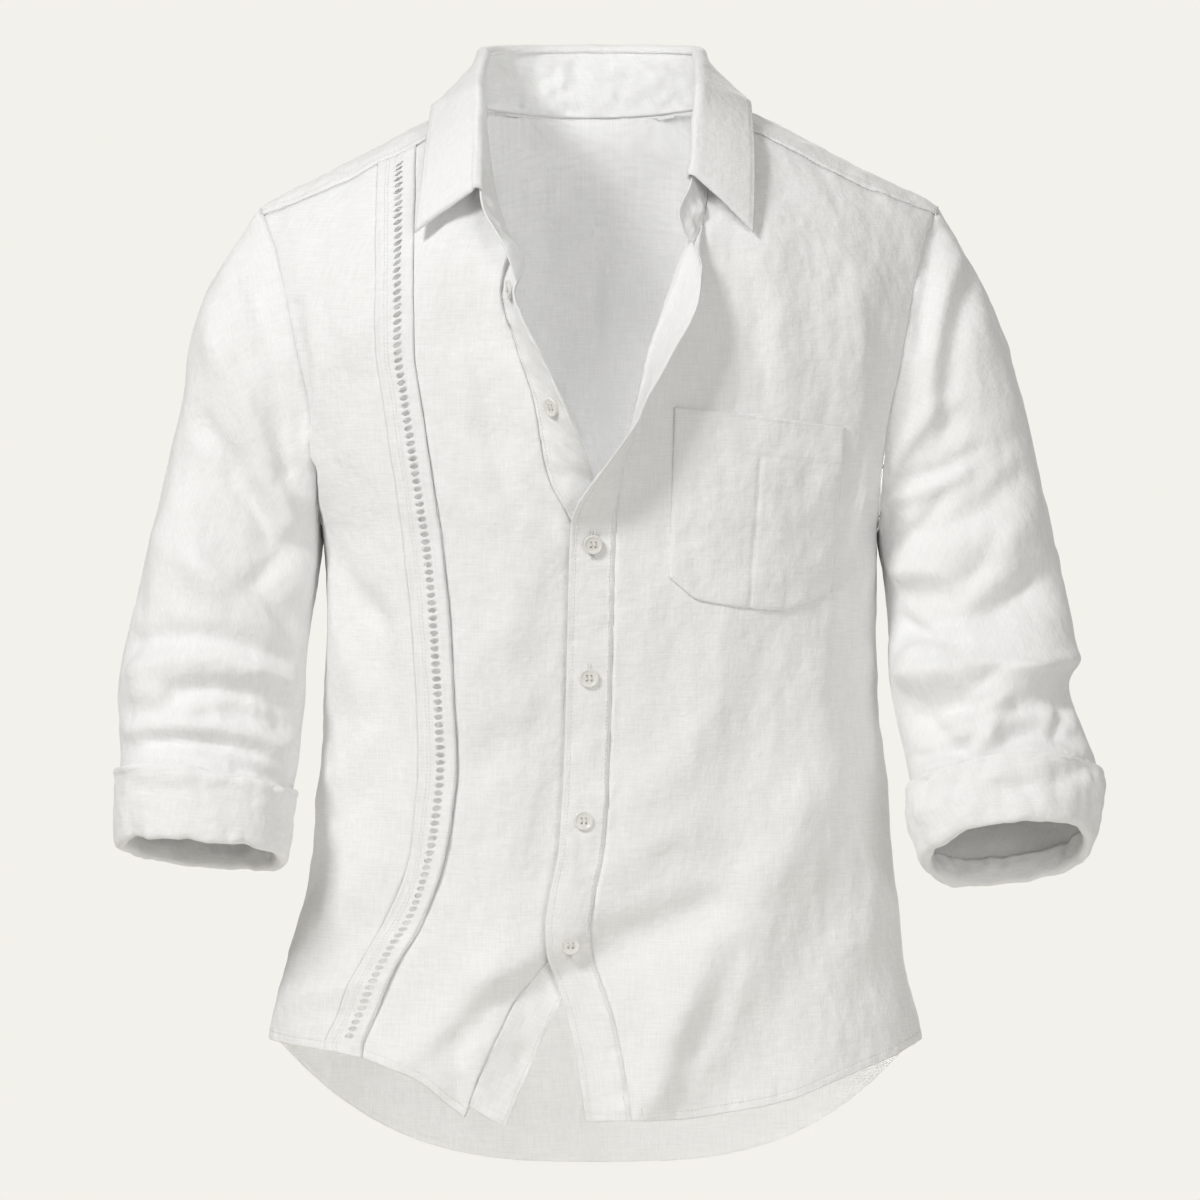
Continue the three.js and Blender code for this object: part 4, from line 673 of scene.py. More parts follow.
class Cut:
    """Makes the grids of all panels that meet in seams, on the plain body."""

    low = close_steps(351, 12, 0.8, 3.2, both=False)
    side_columns = 44
    inner_columns = 50
    trim_columns = 30
    back_columns = 104
    shoulder_rows = 30
    stand_rows = 26
    sleeve_steps = 14
    root_steps = 51
    roll_steps = 8

    def __init__(self, body: Body) -> None:
        """Divides the heights and the neck seam.

        Args:
            body: The body that the panels lie on.
        """
        self.body = body
        self.panels: dict[str, Panel] = {}
        root = np.linspace(0, 1, self.root_steps + 1)
        neck = np.linspace(0, 1, NECK_STEPS + 1)
        self.root_rows = root
        self.neck_rows = neck
        shares = [root * (1 - NECK_SHARE), 1 - NECK_SHARE + NECK_SHARE * neck[1:]]
        self.high = np.concatenate(shares)
        self.left_columns = self.side_columns + self.inner_columns + self.trim_columns
        self.strip_places = np.linspace(0, PLACKET_WIDTH, STRIP_STEPS + 1)
        self.roll_places = np.linspace(0, ROLL_WIDTH, self.roll_steps + 1)
        placket = ROLL_WIDTH + self.strip_places
        self.left_places = np.concatenate([self.roll_places, placket[1:]])
        self.neck_columns = 2 * self.shoulder_rows + self.back_columns
        strip = (1 - self.strip_places / PLACKET_WIDTH) * RIGHT_STRIP_SHARE
        self.right_shares = np.concatenate([strip[::-1], mix(RIGHT_STRIP_SHARE, 1, neck[1:])])
        width = ROLL_WIDTH + PLACKET_WIDTH
        turned = 1 - LEFT_STRIP_SHARE * (1 - self.left_places[1:] / width)
        self.left_shares = np.concatenate([neck * (1 - LEFT_STRIP_SHARE), turned])
        self.back_shares = np.linspace(0, 1, self.neck_columns + 1)
        self.neck_right = Curve.through(NECK_RIGHT).at(self.right_shares)
        self.neck_back = Curve.through(NECK_BACK).at(self.back_shares)
        self.neck_left = Curve.through(NECK_LEFT).at(self.left_shares)
        self.neck_back[0] = self.neck_right[-1]
        self.neck_left[0] = self.neck_back[-1]

    def add(self, name: str, rows: Array, piece: str = "", **ways: bool) -> None:
        """Keeps a panel under its name, as part of a piece of its own or another's."""
        self.panels[name] = Panel(name, piece or name, rows, **ways)

    def trim_left(self, z: Array) -> Array:
        """Returns x of the ladder strip's outer edge."""
        return self.body.ladder_x(z) - TRIM_LEFT

    def trim_right(self, z: Array) -> Array:
        """Returns x of the ladder strip's inner edge."""
        return self.body.ladder_x(z) + TRIM_RIGHT

    def right_side_seam(self, z: Array) -> Array:
        """Returns x of the right side seam."""
        return CENTRE_X - self.body.half[Side.RIGHT](z)

    def left_side_seam(self, z: Array) -> Array:
        """Returns x of the left side seam."""
        return CENTRE_X + self.body.half[Side.LEFT](z)

    def on_shoulder_seam(self, side: Side, x: Array) -> Array:
        """Returns points of the front shoulder seam."""
        return self.body.front(side, x, self.body.shoulder_seam(np.abs(x - CENTRE_X)))

    def front_line(self, side: Side, line: Callable, top: Array, shares: Array) -> Array:
        """Returns a line up a front from the armpit level to its top point.

        Args:
            side: Which front.
            line: Gives x at a height.
            top: The top point.
            shares: Shares of the height.

        Returns:
            The points, from the armpit level up.
        """
        z = mix(ARMPIT_Z, top[2], shares)
        x = line(z) + (top[0] - line(np.array(top[2]))) * shares**3
        points = self.body.front(side, x, z)
        points[-1] = top
        return points

    def patch(
        self,
        side: Side,
        columns: int,
        left: Array,
        right: Array,
        left_x: Callable,
        right_x: Callable,
    ) -> Array:
        """Returns a patch of a front from its hem to the shoulder seam.

        Args:
            side: Which front.
            columns: How many columns it is divided into.
            left: Its first edge over the armpit.
            right: Its last edge over the armpit.
            left_x: The line that carries its first edge on below.
            right_x: The line that carries its last edge on below.

        Returns:
            The grid, from the hem up.
        """
        body = self.body
        u = np.linspace(0, 1, columns + 1)
        level = np.array(HEM_LEVEL)
        hem_z = body.hem[side](body.column_x(side, level, left_x(level), right_x(level), u))
        z = mix(hem_z[None], ARMPIT_Z, self.low[:-1, None])
        x = body.column_x(side, z, left_x(z), right_x(z), u[None])
        low = body.front(side, x, z)
        top = self.on_shoulder_seam(side, mix(left[-1, 0], right[-1, 0], u))
        top[0], top[-1] = left[-1], right[-1]
        pit = np.array(ARMPIT_Z)
        foot_x = body.column_x(side, pit, left_x(pit), right_x(pit), u)
        foot = body.front(side, foot_x, np.full_like(foot_x, ARMPIT_Z))
        foot[0], foot[-1] = left[0], right[0]
        grid = coons(foot, top, left, right, u, self.high)
        plain = body.front(side, grid[..., 0], grid[..., 2])
        shift = right - plain[:, -1]
        ease = np.clip((u - PANEL_EASE) / (1 - PANEL_EASE), 0, 1) ** 2
        high = plain + shift[:, None] * ease[None, :, None]
        high[:, 0], high[:, -1] = left, right
        high[0], high[-1] = foot, top
        return np.concatenate([low, high])

    def strip(self, side: Side, places: Array, top: Array, first: Array) -> Array:
        """Returns an edge strip whose first column is the neighbouring panel's last.

        Args:
            side: Which front.
            places: The columns' distances from the root.
            top: The points at the neck seam.
            first: The points of the first column.

        Returns:
            The grid, from the hem up.
        """
        body = self.body
        foot = body.root[side](np.array(STRIP_FOOT_Z))
        low, high = [], []
        for across, tip in zip(places, top):
            hem_z = body.hem[side](foot - side.value * across)
            low.append(body.strip_point(side, mix(hem_z, ARMPIT_Z, self.low[:-1]), across))
            high.append(body.strip_point(side, mix(ARMPIT_Z, tip[2], self.root_rows), across))
        upper = np.stack(high, axis=1)
        shift = top - upper[-1]
        ease = np.clip((self.root_rows - STRIP_EASE) / (1 - STRIP_EASE), 0, 1) ** 2
        upper = upper + shift[None] * ease[:, None, None]
        upper[-1] = top
        grid = np.concatenate([np.stack(low, axis=1), upper])
        grid[:, 0] = first[: len(grid)]
        return grid

    def right_front(self) -> None:
        """Makes the right front's side, ladder strip, centre and button strip."""
        body = self.body
        edge = body.armhole(Side.RIGHT, Face.FRONT, self.high)
        trim_left, trim_right = self.trim_left, self.trim_right
        level = np.array(LADDER["z"][0])
        lines = []
        for line in (trim_left, trim_right):
            top = self.on_shoulder_seam(Side.RIGHT, line(level))
            lines.append(self.front_line(Side.RIGHT, line, top, self.high))
        seam_x = self.right_side_seam
        outer = self.patch(Side.RIGHT, self.side_columns, edge, lines[0], seam_x, trim_left)
        neck = self.neck_right[len(self.strip_places) - 1 :]
        root = self.front_line(Side.RIGHT, body.root[Side.RIGHT], neck[0], self.root_rows)
        inner_edge = np.concatenate([root, neck[1:]])
        inner = self.patch(
            Side.RIGHT, self.inner_columns, lines[1], inner_edge, trim_right, body.root[Side.RIGHT]
        )
        u = np.linspace(0, 1, self.trim_columns + 1)[None, :, None]
        trim = outer[:, -1:] * (1 - u) + inner[:, :1] * u
        flat = body.front(Side.RIGHT, trim[..., 0], trim[..., 2])
        flat[:, 0], flat[:, -1] = outer[:, -1], inner[:, 0]
        flat[-1, 1:-1] = self.on_shoulder_seam(Side.RIGHT, trim[-1, 1:-1, 0])
        self.add("front_right_side", outer)
        self.add("front_right_centre", inner)
        self.add("ladder_trim", flat)
        top = self.neck_right[: len(self.strip_places)][::-1]
        self.add("under_placket", self.strip(Side.RIGHT, self.strip_places, top, inner[:, -1]))

    def left_front(self) -> None:
        """Makes the left front, the roll of its edge and the button placket."""
        body = self.body
        edge = body.armhole(Side.LEFT, Face.FRONT, self.high)
        neck = self.neck_left[: len(self.neck_rows)][::-1]
        root = self.front_line(Side.LEFT, body.root[Side.LEFT], neck[0], self.root_rows)
        inner_edge = np.concatenate([root, neck[1:]])
        seam_x, root_x = self.left_side_seam, body.root[Side.LEFT]
        front = self.patch(Side.LEFT, self.left_columns, edge, inner_edge, seam_x, root_x)
        self.add("front_left", front, flip=True)
        top = self.neck_left[len(self.neck_rows) - 1 :]
        strip = self.strip(Side.LEFT, self.left_places, top, front[:, -1])
        turn = len(self.roll_places)
        self.add("roll", strip[:, :turn], piece="front_left", flip=True)
        self.add("button_placket", strip[:, turn - 1 :], flip=True)

    def back(self) -> None:
        """Makes the back up to the line where it turns over the shoulders."""
        body = self.body
        u = np.linspace(0, 1, self.back_columns + 1)
        angle = math.pi * u
        across = signed_power(np.cos(angle), 2 / SECTION_POWER)
        hem_z = SIDE_HEM_Z - BACK_TAIL * (1 - np.abs(across) ** 3)
        z = mix(hem_z[None], ARMPIT_Z, self.low[:-1, None])
        low = body.point(Face.BACK, body.x_at_angle(Side.LEFT, angle[None], z), z)
        left = body.armhole(Side.LEFT, Face.BACK, self.high)
        right = body.armhole(Side.RIGHT, Face.BACK, self.high)
        foot_x = body.x_at_angle(Side.LEFT, angle, np.array(ARMPIT_Z))
        foot = body.point(Face.BACK, foot_x, np.full_like(foot_x, ARMPIT_Z))
        top_x = mix(left[-1, 0], right[-1, 0], u)
        top = body.point(Face.BACK, top_x, body.back_join(np.abs(top_x - CENTRE_X)))
        foot[0], foot[-1], top[0], top[-1] = left[0], right[0], left[-1], right[-1]
        grid = coons(foot, top, left, right, u, self.high)
        high = body.point(Face.BACK, grid[..., 0], grid[..., 2])
        high[:, 0], high[:, -1], high[0], high[-1] = left, right, foot, top
        self.add("back", np.concatenate([low, high]))

    def shoulder_edge(self, side: Side) -> Array:
        """Returns the armhole over the shoulder, from the front seam to the back.

        Args:
            side: Which shoulder.

        Returns:
            The points.
        """
        start = self.body.armhole(side, Face.FRONT, np.array([1.0]))[0]
        end = self.body.armhole(side, Face.BACK, np.array([1.0]))[0]
        tip = np.array([CENTRE_X + side.value * ARMHOLE["out"][0], 0, ARMHOLE["z"][0]])
        points = Curve(np.stack([start, tip, end])).at(np.linspace(0, 1, self.shoulder_rows + 1))
        points[0], points[-1] = start, end
        return points

    def shoulders(self) -> None:
        """Makes the part of the back that runs over the shoulders to the front seams."""
        right_seam = np.concatenate(
            [
                self.panels["front_right_side"].rows[-1, :-1],
                self.panels["ladder_trim"].rows[-1, :-1],
                self.panels["front_right_centre"].rows[-1],
            ]
        )[::-1]
        left_seam = self.panels["front_left"].rows[-1, ::-1]
        outer = np.concatenate(
            [
                self.shoulder_edge(Side.RIGHT)[:-1],
                self.panels["back"].rows[-1, ::-1],
                self.shoulder_edge(Side.LEFT)[::-1][1:],
            ]
        )
        edges = []
        for edge in (self.neck_back, outer, right_seam, left_seam):
            lifted = edge.copy()
            lifted[:, 2] -= self.body.shoulder_height(edge[:, 0], edge[:, 1])
            edges.append(lifted)
        v = np.linspace(0, 1, len(right_seam))
        grid = coons(*edges, self.back_shares, v)
        grid[..., 2] += self.body.shoulder_height(grid[..., 0], grid[..., 1])
        grid[:, 0], grid[:, -1] = right_seam, left_seam
        grid[0], grid[-1] = self.neck_back, outer
        self.add("shoulders", grid, piece="back")

    def sleeve(self, side: Side) -> None:
        """Makes a sleeve, lofted from the armhole through its sections.

        Args:
            side: Which sleeve.
        """
        rows = SLEEVE_RIGHT if side is Side.RIGHT else SLEEVE_LEFT
        front = self.body.armhole(side, Face.FRONT, self.high)
        back = self.body.armhole(side, Face.BACK, self.high)[::-1]
        loop = np.concatenate([front[:-1], self.shoulder_edge(side), back[1:-1]])
        tip = len(self.high) - 1 + self.shoulder_rows // 2
        steps = np.linalg.norm(np.roll(loop, -1, axis=0) - loop, axis=1)
        reached = np.concatenate([[0], np.cumsum(steps)])
        angle = np.interp(reached[:-1], [0, reached[tip], reached[-1]], [0, np.pi, 2 * np.pi])
        sections = [loop]
        for i in range(len(rows["y"])):
            row = {name: rows[name][i] for name in rows}
            outer = np.array([row["outX"], row["y"], row["outZ"]])
            inner = np.array([row["inX"], row["y"], row["inZ"]])
            centre = (outer + inner) / 2
            inwards = np.array([row["inX"] - row["outX"], 0, row["inZ"] - row["outZ"]]) / 2
            tilt = math.radians(row["tilt"])
            forwards = np.array([0, -math.cos(tilt), math.sin(tilt)]) * row["half"]
            across = signed_power(np.cos(angle), 2 / SLEEVE_POWER)[:, None]
            ahead = signed_power(np.sin(angle), 2 / SLEEVE_POWER)[:, None]
            sections.append(centre + inwards * across + forwards * ahead)
        count = len(sections) - 1
        places = np.linspace(0, count, count * self.sleeve_steps + 1)
        (x0, x1, x2, x3), t = neighbours(np.stack(sections), places)
        grid = hermite(x1, x2, (x2 - x0) / 2, (x3 - x1) / 2, t)
        grid[0] = loop
        name = "sleeve_right" if side is Side.RIGHT else "sleeve_left"
        self.add(name, grid, flip=side is Side.LEFT, closed=True)

    def stand(self) -> None:
        """Makes the collar's stand between the neck seam and its own top edge."""
        seam = np.concatenate([self.neck_right, self.neck_back[1:], self.neck_left[1:]])
        names = "topX topY topZ"
        tops = [
            Curve.through(rows, names).at(shares)
            for rows, shares in (
                (NECK_RIGHT, self.right_shares),
                (NECK_BACK, self.back_shares),
                (NECK_LEFT, self.left_shares),
            )
        ]
        top = np.concatenate([tops[0], tops[1][1:], tops[2][1:]])
        v = np.linspace(0, 1, self.stand_rows + 1)[:, None, None]
        self.add("collar_stand", seam[None] * (1 - v) + top[None] * v, flip=True)

    def make(self) -> dict[str, Panel]:
        """Returns all panels that share seams.

        Returns:
            The panels by name.
        """
        self.right_front()
        self.left_front()
        self.back()
        self.shoulders()
        self.sleeve(Side.RIGHT)
        self.sleeve(Side.LEFT)
        self.stand()
        return self.panels


# ---- seams and folds

FOLDED_BACK = {"neck": -0.3, "other": 0.1}
FOLD_ENDING = 1.5
FOLD_FACING = 1.6


@dataclass
class Seams:
    """The places where borders of panels meet."""

    groups: list[list[tuple[Panel, int, int]]]

    @classmethod
    def find(cls, panels: Sequence[Panel]) -> "Seams":
        """Groups the border points of the panels that lie on each other.

        Args:
            panels: The panels.

        Returns:
            The seams.
        """
        entries, points = [], []
        for panel in panels:
            rows, columns = panel.border()
            entries += [(panel, int(r), int(c)) for r, c in zip(rows, columns)]
            points.append(panel.rows[rows, columns])
        merged = merge_ids(np.concatenate(points), MERGE_REACH)
        groups: dict[int, list[tuple[Panel, int, int]]] = {}
        for entry, key in zip(entries, merged):
            groups.setdefault(int(key), []).append(entry)
        return cls([group for group in groups.values() if len(group) > 1])

    def sides(self, group: list[tuple[Panel, int, int]]) -> list[list[tuple[Panel, int, int]]]:
        """Returns a seam point's sides: one, or more where it is folded back.

        Args:
            group: The border points that lie on each other.

        Returns:
            The points of each side.
        """
        at_neck = any(panel.piece == "collar_stand" for panel, _, _ in group)
        limit = FOLDED_BACK["neck" if at_neck else "other"]
        sides: list[list[tuple[Panel, int, int]]] = []
        for entry in group:
            normal = entry[0].normals[entry[1], entry[2]]
            for side in sides:
                first = side[0]
                if first[0].normals[first[1], first[2]] @ normal > limit:
                    side.append(entry)
                    break
            else:
                sides.append([entry])
        return sides

    def share_normals(self) -> None:
        """Gives the points of each seam one normal on each side of it."""
        for group in self.groups:
            for side in self.sides(group):
                total = sum(panel.normals[r, c] for panel, r, c in side)
                total = total / max(np.linalg.norm(total), 1e-9)
                for panel, r, c in side:
                    panel.normals[r, c] = total

    def folded_back(self) -> Array:
        """Returns the points of seams that are folded back on themselves.

        Returns:
            The points, which may be none.
        """
        found = [
            group[0][0].rows[group[0][1], group[0][2]]
            for group in self.groups
            if len(self.sides(group)) > 1
        ]
        return np.array(found).reshape(-1, 3)


def merge_ids(points: Array, reach: float) -> Array:
    """Returns for each point the number of the first point that it lies on.

    Args:
        points: The points.
        reach: How close two of them have to be.

    Returns:
        The first points' numbers.
    """
    ids = np.arange(len(points))
    order = np.argsort(points[:, 2], kind="stable")
    levels = points[order, 2]
    for rank, i in enumerate(order):
        if ids[i] != i:
            continue
        stop = np.searchsorted(levels, levels[rank] + reach, side="right")
        start = np.searchsorted(levels, levels[rank] - reach, side="left")
        near = order[start:stop]
        close = near[np.abs(points[near] - points[i]).max(axis=1) < reach]
        free = close[(ids[close] == close) & (close != i)]
        ids[free] = i
    return ids


def fold_depth(rows: Table, points: Array, normals: Array) -> Array:
    """Returns how far a table of folds moves points out along their normals.

    Args:
        rows: The folds: each a line seen from one face, `bend` its middle's way off
            the straight, and `lean` from -1 to 1 for which of its flanks is steeper.
        points: The points, in millimetres.
        normals: Their outward normals.

    Returns:
        The distances, in millimetres.
    """
    total = np.zeros(points.shape[:-1])
    x, z = points[..., 0], points[..., 2]
    for i in range(len(rows["face"])):
        face, x1, z1, x2, z2, bend, width, depth, lean = (rows[name][i] for name in rows)
        margin = 3.2 * width + abs(bend)
        near = (
            (x > min(x1, x2) - margin)
            & (x < max(x1, x2) + margin)
            & (z > min(z1, z2) - margin)
            & (z < max(z1, z2) + margin)
            & (face * normals[..., 1] > 0)
        )
        if not near.any():
            continue
        dx, dz = x2 - x1, z2 - z1
        length = math.hypot(dx, dz)
        px, pz = x[near] - x1, z[near] - z1
        t = (px * dx + pz * dz) / length**2
        off = (px * dz - pz * dx) / length - bend * 4 * np.clip(t, 0, 1) * (1 - np.clip(t, 0, 1))
        past = np.maximum(0, np.maximum(-t, t - 1)) * length
        reach = width * (1 + 0.45 * lean * np.sign(off))
        shape = np.exp(-((off / reach) ** 2) - (past / (FOLD_ENDING * width)) ** 2)
        facing = smooth(face * normals[..., 1][near] * FOLD_FACING)
        total[near] += depth * shape * facing
    return total


def lattice_noise(points: Array, size: Sequence[float], seed: int) -> Array:
    """Returns smooth noise from about -1 to 1 over points in space.

    Args:
        points: The points, in millimetres.
        size: The noise's grain along X, Y and Z, in millimetres.
        seed: Which noise.

    Returns:
        A value for each point.
    """
    cell = points / np.array(size) + 137.3 * (seed + 1)
    base = np.floor(cell).astype(np.int64)
    part = cell - base
    ease = part**3 * (part * (part * 6 - 15) + 10)
    total = np.zeros(points.shape[:-1])
    for corner in range(8):
        offset = np.array([corner & 1, corner >> 1 & 1, corner >> 2 & 1])
        spot = base + offset
        code = spot[..., 0] * 73856093 ^ spot[..., 1] * 19349663 ^ spot[..., 2] * 83492791
        code = (code ^ seed * 2654435761) & 0xFFFFFFFF
        code = (code ^ (code >> 15)) * 2246822519 & 0xFFFFFFFF
        code = (code ^ (code >> 13)) * 3266489917 & 0xFFFFFFFF
        code = code ^ (code >> 16)
        gradient = np.stack([(code >> shift & 1023) / 511.5 - 1 for shift in (0, 10, 20)], -1)
        weight = np.prod(np.where(offset == 1, ease, 1 - ease), axis=-1)
        total += weight * np.sum(gradient * (part - offset), axis=-1)
    return total * 1.4


# Creases that are too small for the solids, laid over the large folds.
CREASES = table("face x1 z1 x2 z2 bend width depth lean", """
    # left front, over and under its long diagonal ridge
    -1 150 -470 118 -520 4 20 5.1 0.2; -1 58 -622 30 -690 -6 13 5.7 0.4
    -1 62 -648 92 -588 4 13 -5.1 -0.3; -1 2 -572 74 -548 3 15 -5.5 0.4
    -1 120 -500 60 -520 -5 17 -3 0; -1 34 -470 72 -430 4 18 2.3 0
    -1 50 -500 20 -520 3 13 2.7 0.3; -1 156 -400 150 -480 4 20 3 0
    -1 176 -380 178 -470 0 13 -2.7 0; -1 188 -560 170 -620 3 17 2.7 0
    -1 150 -640 190 -600 0 15 -2.3 0; -1 110 -380 104 -440 2 14 -1.7 0
    -1 86 -390 70 -440 2 16 1.7 0
    # right front, below its button strip
    -1 -12 -574 -70 -592 -6 13 5.1 0.3; -1 -78 -604 -140 -660 -4 12 4 0.3
    -1 -30 -590 -96 -640 4 12 -4.7 -0.2; -1 -78 -650 -70 -690 2 8 3 0
    -1 -92 -646 -96 -680 0 7 -2.3 0; -1 -52 -650 -48 -690 0 7 -2.1 0
    -1 -60 -360 -96 -420 3 15 2.3 0; -1 -40 -430 -90 -470 3 15 -2.1 0
    -1 -64 -470 -20 -540 -4 17 2.1 0; -1 -20 -440 -34 -520 3 12 -2.1 0
    -1 -72 -230 -30 -280 4 9 -2.6 0.3; -1 -60 -240 -26 -300 3 9 2.1 0
    -1 -96 -130 -62 -230 4 12 -2.2 0; -1 -88 -180 -74 -250 2 10 2.1 0
    # right side, beyond the ladder strip
    -1 -152 -350 -128 -560 -5 11 -5.1 0.2; -1 -184 -330 -180 -390 2 15 3 0
    -1 -176 -420 -186 -400 0 11 -2.3 0; -1 -190 -470 -160 -440 2 11 3.4 0.2
    -1 -196 -500 -166 -480 2 9 -2.1 0; -1 -190 -560 -156 -520 3 12 4 0.3
    -1 -206 -600 -160 -566 3 11 -2.9 0; -1 -214 -612 -150 -600 2 6 1.7 0
    -1 -210 -630 -156 -622 -2 6 -1.4 0; -1 -200 -560 -214 -630 2 11 2 0
    # folds drawn from the underarms
    -1 -192 -286 -150 -350 3 9 -2.6 0.2; -1 -190 -300 -170 -380 3 8 2.7 0
    -1 -194 -150 -188 -280 -3 8 4.4 0.3; -1 -206 -140 -200 -220 -2 6 -3.2 0
    -1 196 -286 150 -340 -3 10 -2.1 0; -1 190 -306 176 -380 0 9 2.3 0
    -1 180 -130 172 -290 -4 13 3 0.2; -1 196 -150 190 -270 0 8 -2.3 0
    -1 120 -80 132 -200 3 13 1.8 0; -1 92 -110 100 -200 2 10 -1.8 0
    -1 110 -130 112 -205 0 8 -1.3 0
    # right sleeve
    -1 -250 -118 -222 -200 -4 9 3.8 0.3; -1 -236 -130 -214 -250 -3 8 -4.6 0.2
    -1 -262 -166 -212 -282 -6 9 4.6 0.4; -1 -270 -220 -222 -296 -6 10 -6.1 0.3
    -1 -256 -268 -204 -330 -4 9 4.9 0.3; -1 -236 -330 -206 -300 2 8 -3.8 0
    -1 -296 -240 -262 -330 4 14 2.3 0; -1 -268 -318 -210 -374 -6 10 4.9 0.4
    -1 -318 -366 -214 -378 -8 9 -6.4 0.4; -1 -316 -388 -232 -384 -7 8 4.9 0.3
    -1 -284 -404 -204 -416 -8 8 -6.7 0.3; -1 -316 -404 -262 -410 -4 8 4.1 0
    -1 -276 -424 -206 -444 -6 7 5.2 0.3; -1 -320 -440 -232 -440 -6 7 -4.1 0.2
    -1 -296 -446 -212 -462 -5 6 -4.6 0.3; -1 -322 -428 -270 -430 -4 6 3.5 0
    -1 -308 -456 -206 -480 -7 6 4.9 0.2; -1 -246 -262 -206 -350 -5 15 -7 0.4
    -1 -232 -256 -196 -320 -3 7 3.6 0.3; -1 -286 -398 -200 -408 -6 6 -5.2 0.5
    -1 -262 -414 -198 -432 -5 6 -5.4 0.5; -1 -300 -434 -214 -448 -6 5 -4.4 0.4
    -1 -286 -414 -220 -424 -4 4 2.8 0; -1 -322 -456 -250 -452 -5 4 3 0.3
    -1 -236 -388 -204 -400 -3 4 3 0; -1 -330 -330 -300 -352 2 9 -2 0
    # left sleeve
    -1 236 -86 226 -160 2 6 -4.3 0; -1 250 -110 232 -204 5 8 5.2 0.3
    -1 262 -116 244 -220 6 9 -3.8 0; -1 244 -206 200 -262 7 8 4.3 0.3
    -1 204 -258 262 -236 4 6 -3.2 0.3; -1 208 -268 254 -252 3 6 3.2 0
    -1 226 -296 288 -256 6 11 -5.5 0.3; -1 212 -334 268 -316 6 9 -4.9 0.3
    -1 214 -322 246 -330 -5 7 3.8 0; -1 222 -376 286 -296 6 10 5.5 0.4
    -1 250 -360 314 -322 5 12 -3.8 0.2; -1 228 -396 262 -404 -6 8 4.3 0.3
    -1 262 -404 330 -380 -6 7 5.5 0.4; -1 232 -412 270 -394 3 7 -4.3 0
    -1 292 -398 268 -430 6 7 5.2 0.3; -1 268 -430 218 -466 5 8 4.9 0.4
    -1 300 -420 262 -454 4 9 -4.1 0.2; -1 226 -424 246 -440 0 7 -4.1 0
    -1 330 -404 316 -424 2 6 -4.9 0; -1 244 -470 330 -452 6 7 -5.2 0.3
    -1 226 -482 260 -466 3 7 3.8 0; -1 208 -352 244 -366 3 6 -5.4 0.4
    -1 240 -352 300 -322 6 7 -4.6 0.4; -1 214 -392 300 -388 -5 7 5 0.4
    -1 244 -440 326 -432 -6 7 -5 0.4; -1 240 -420 276 -408 2 4 3.2 0
    -1 284 -420 326 -414 -2 5 3.4 0.2; -1 222 -446 260 -428 3 5 -4.2 0.3
    -1 210 -296 238 -270 3 6 -4 0.4; -1 262 -250 290 -226 3 9 -2.2 0
    # the back and the sleeves' hidden side
    1 -120 -130 -150 -250 5 14 3.4 0; 1 126 -130 152 -240 -4 13 3 0
    1 -60 -150 -40 -280 4 16 -2.3 0; 1 50 -170 64 -270 3 15 2.2 0; 1 4 -240 -10 -400 4 15 2.7 0
    1 -182 -290 -120 -340 -4 10 -3.8 0.2; 1 186 -284 130 -330 4 11 -4 0.2
    1 -170 -360 -110 -420 -5 13 3.4 0; 1 172 -350 100 -410 6 12 3.8 0
    1 -140 -460 -60 -560 8 16 -4.4 0.2; 1 146 -480 80 -580 -7 15 -4.7 0.2
    1 -20 -520 10 -660 6 14 -4 0; 1 -160 -560 -180 -640 3 14 3.8 0
    1 160 -590 178 -640 -3 13 3.4 0; 1 20 -640 34 -730 2 12 3 0; 1 -60 -660 -52 -730 0 10 -2.7 0
    1 -262 -170 -216 -280 5 10 4.3 0.3; 1 -286 -230 -232 -310 5 11 -4.6 0.2
    1 -300 -290 -226 -352 6 10 4.3 0.3; 1 -314 -350 -226 -372 6 9 -4.9 0.3
    1 -316 -380 -220 -396 5 8 4.6 0.2; 1 -318 -432 -226 -446 5 7 -4.3 0
    1 -316 -452 -222 -468 4 7 4.1 0.2; 1 266 -160 226 -270 -6 10 4.1 0.3
    1 292 -216 236 -300 -5 11 -4.3 0.2; 1 306 -276 230 -340 -6 10 4.6 0.3
    1 318 -340 232 -366 -5 9 -4.6 0.2; 1 322 -372 226 -392 -5 8 4.3 0.2
    1 326 -420 232 -436 -4 7 -4.3 0; 1 330 -436 236 -456 -4 7 3.8 0.2
    """)

# Even crumpling of washed linen: grain along X, Y and Z, and height.
CRUMPLES = table("x y z height", "46 40 62 1.9; 18 20 30 1.25; 9 9 14 0.62; 5 5 6.6 0.2")


def crumple(points: Array) -> Array:
    """Returns the height of the even crumpling over points.

    Args:
        points: The points, in millimetres.

    Returns:
        A height for each.
    """
    total = np.zeros(points.shape[:-1])
    for i in range(len(CRUMPLES["x"])):
        size = [CRUMPLES[name][i] for name in "xyz"]
        total += CRUMPLES["height"][i] * lattice_noise(points, size, i)
    return total


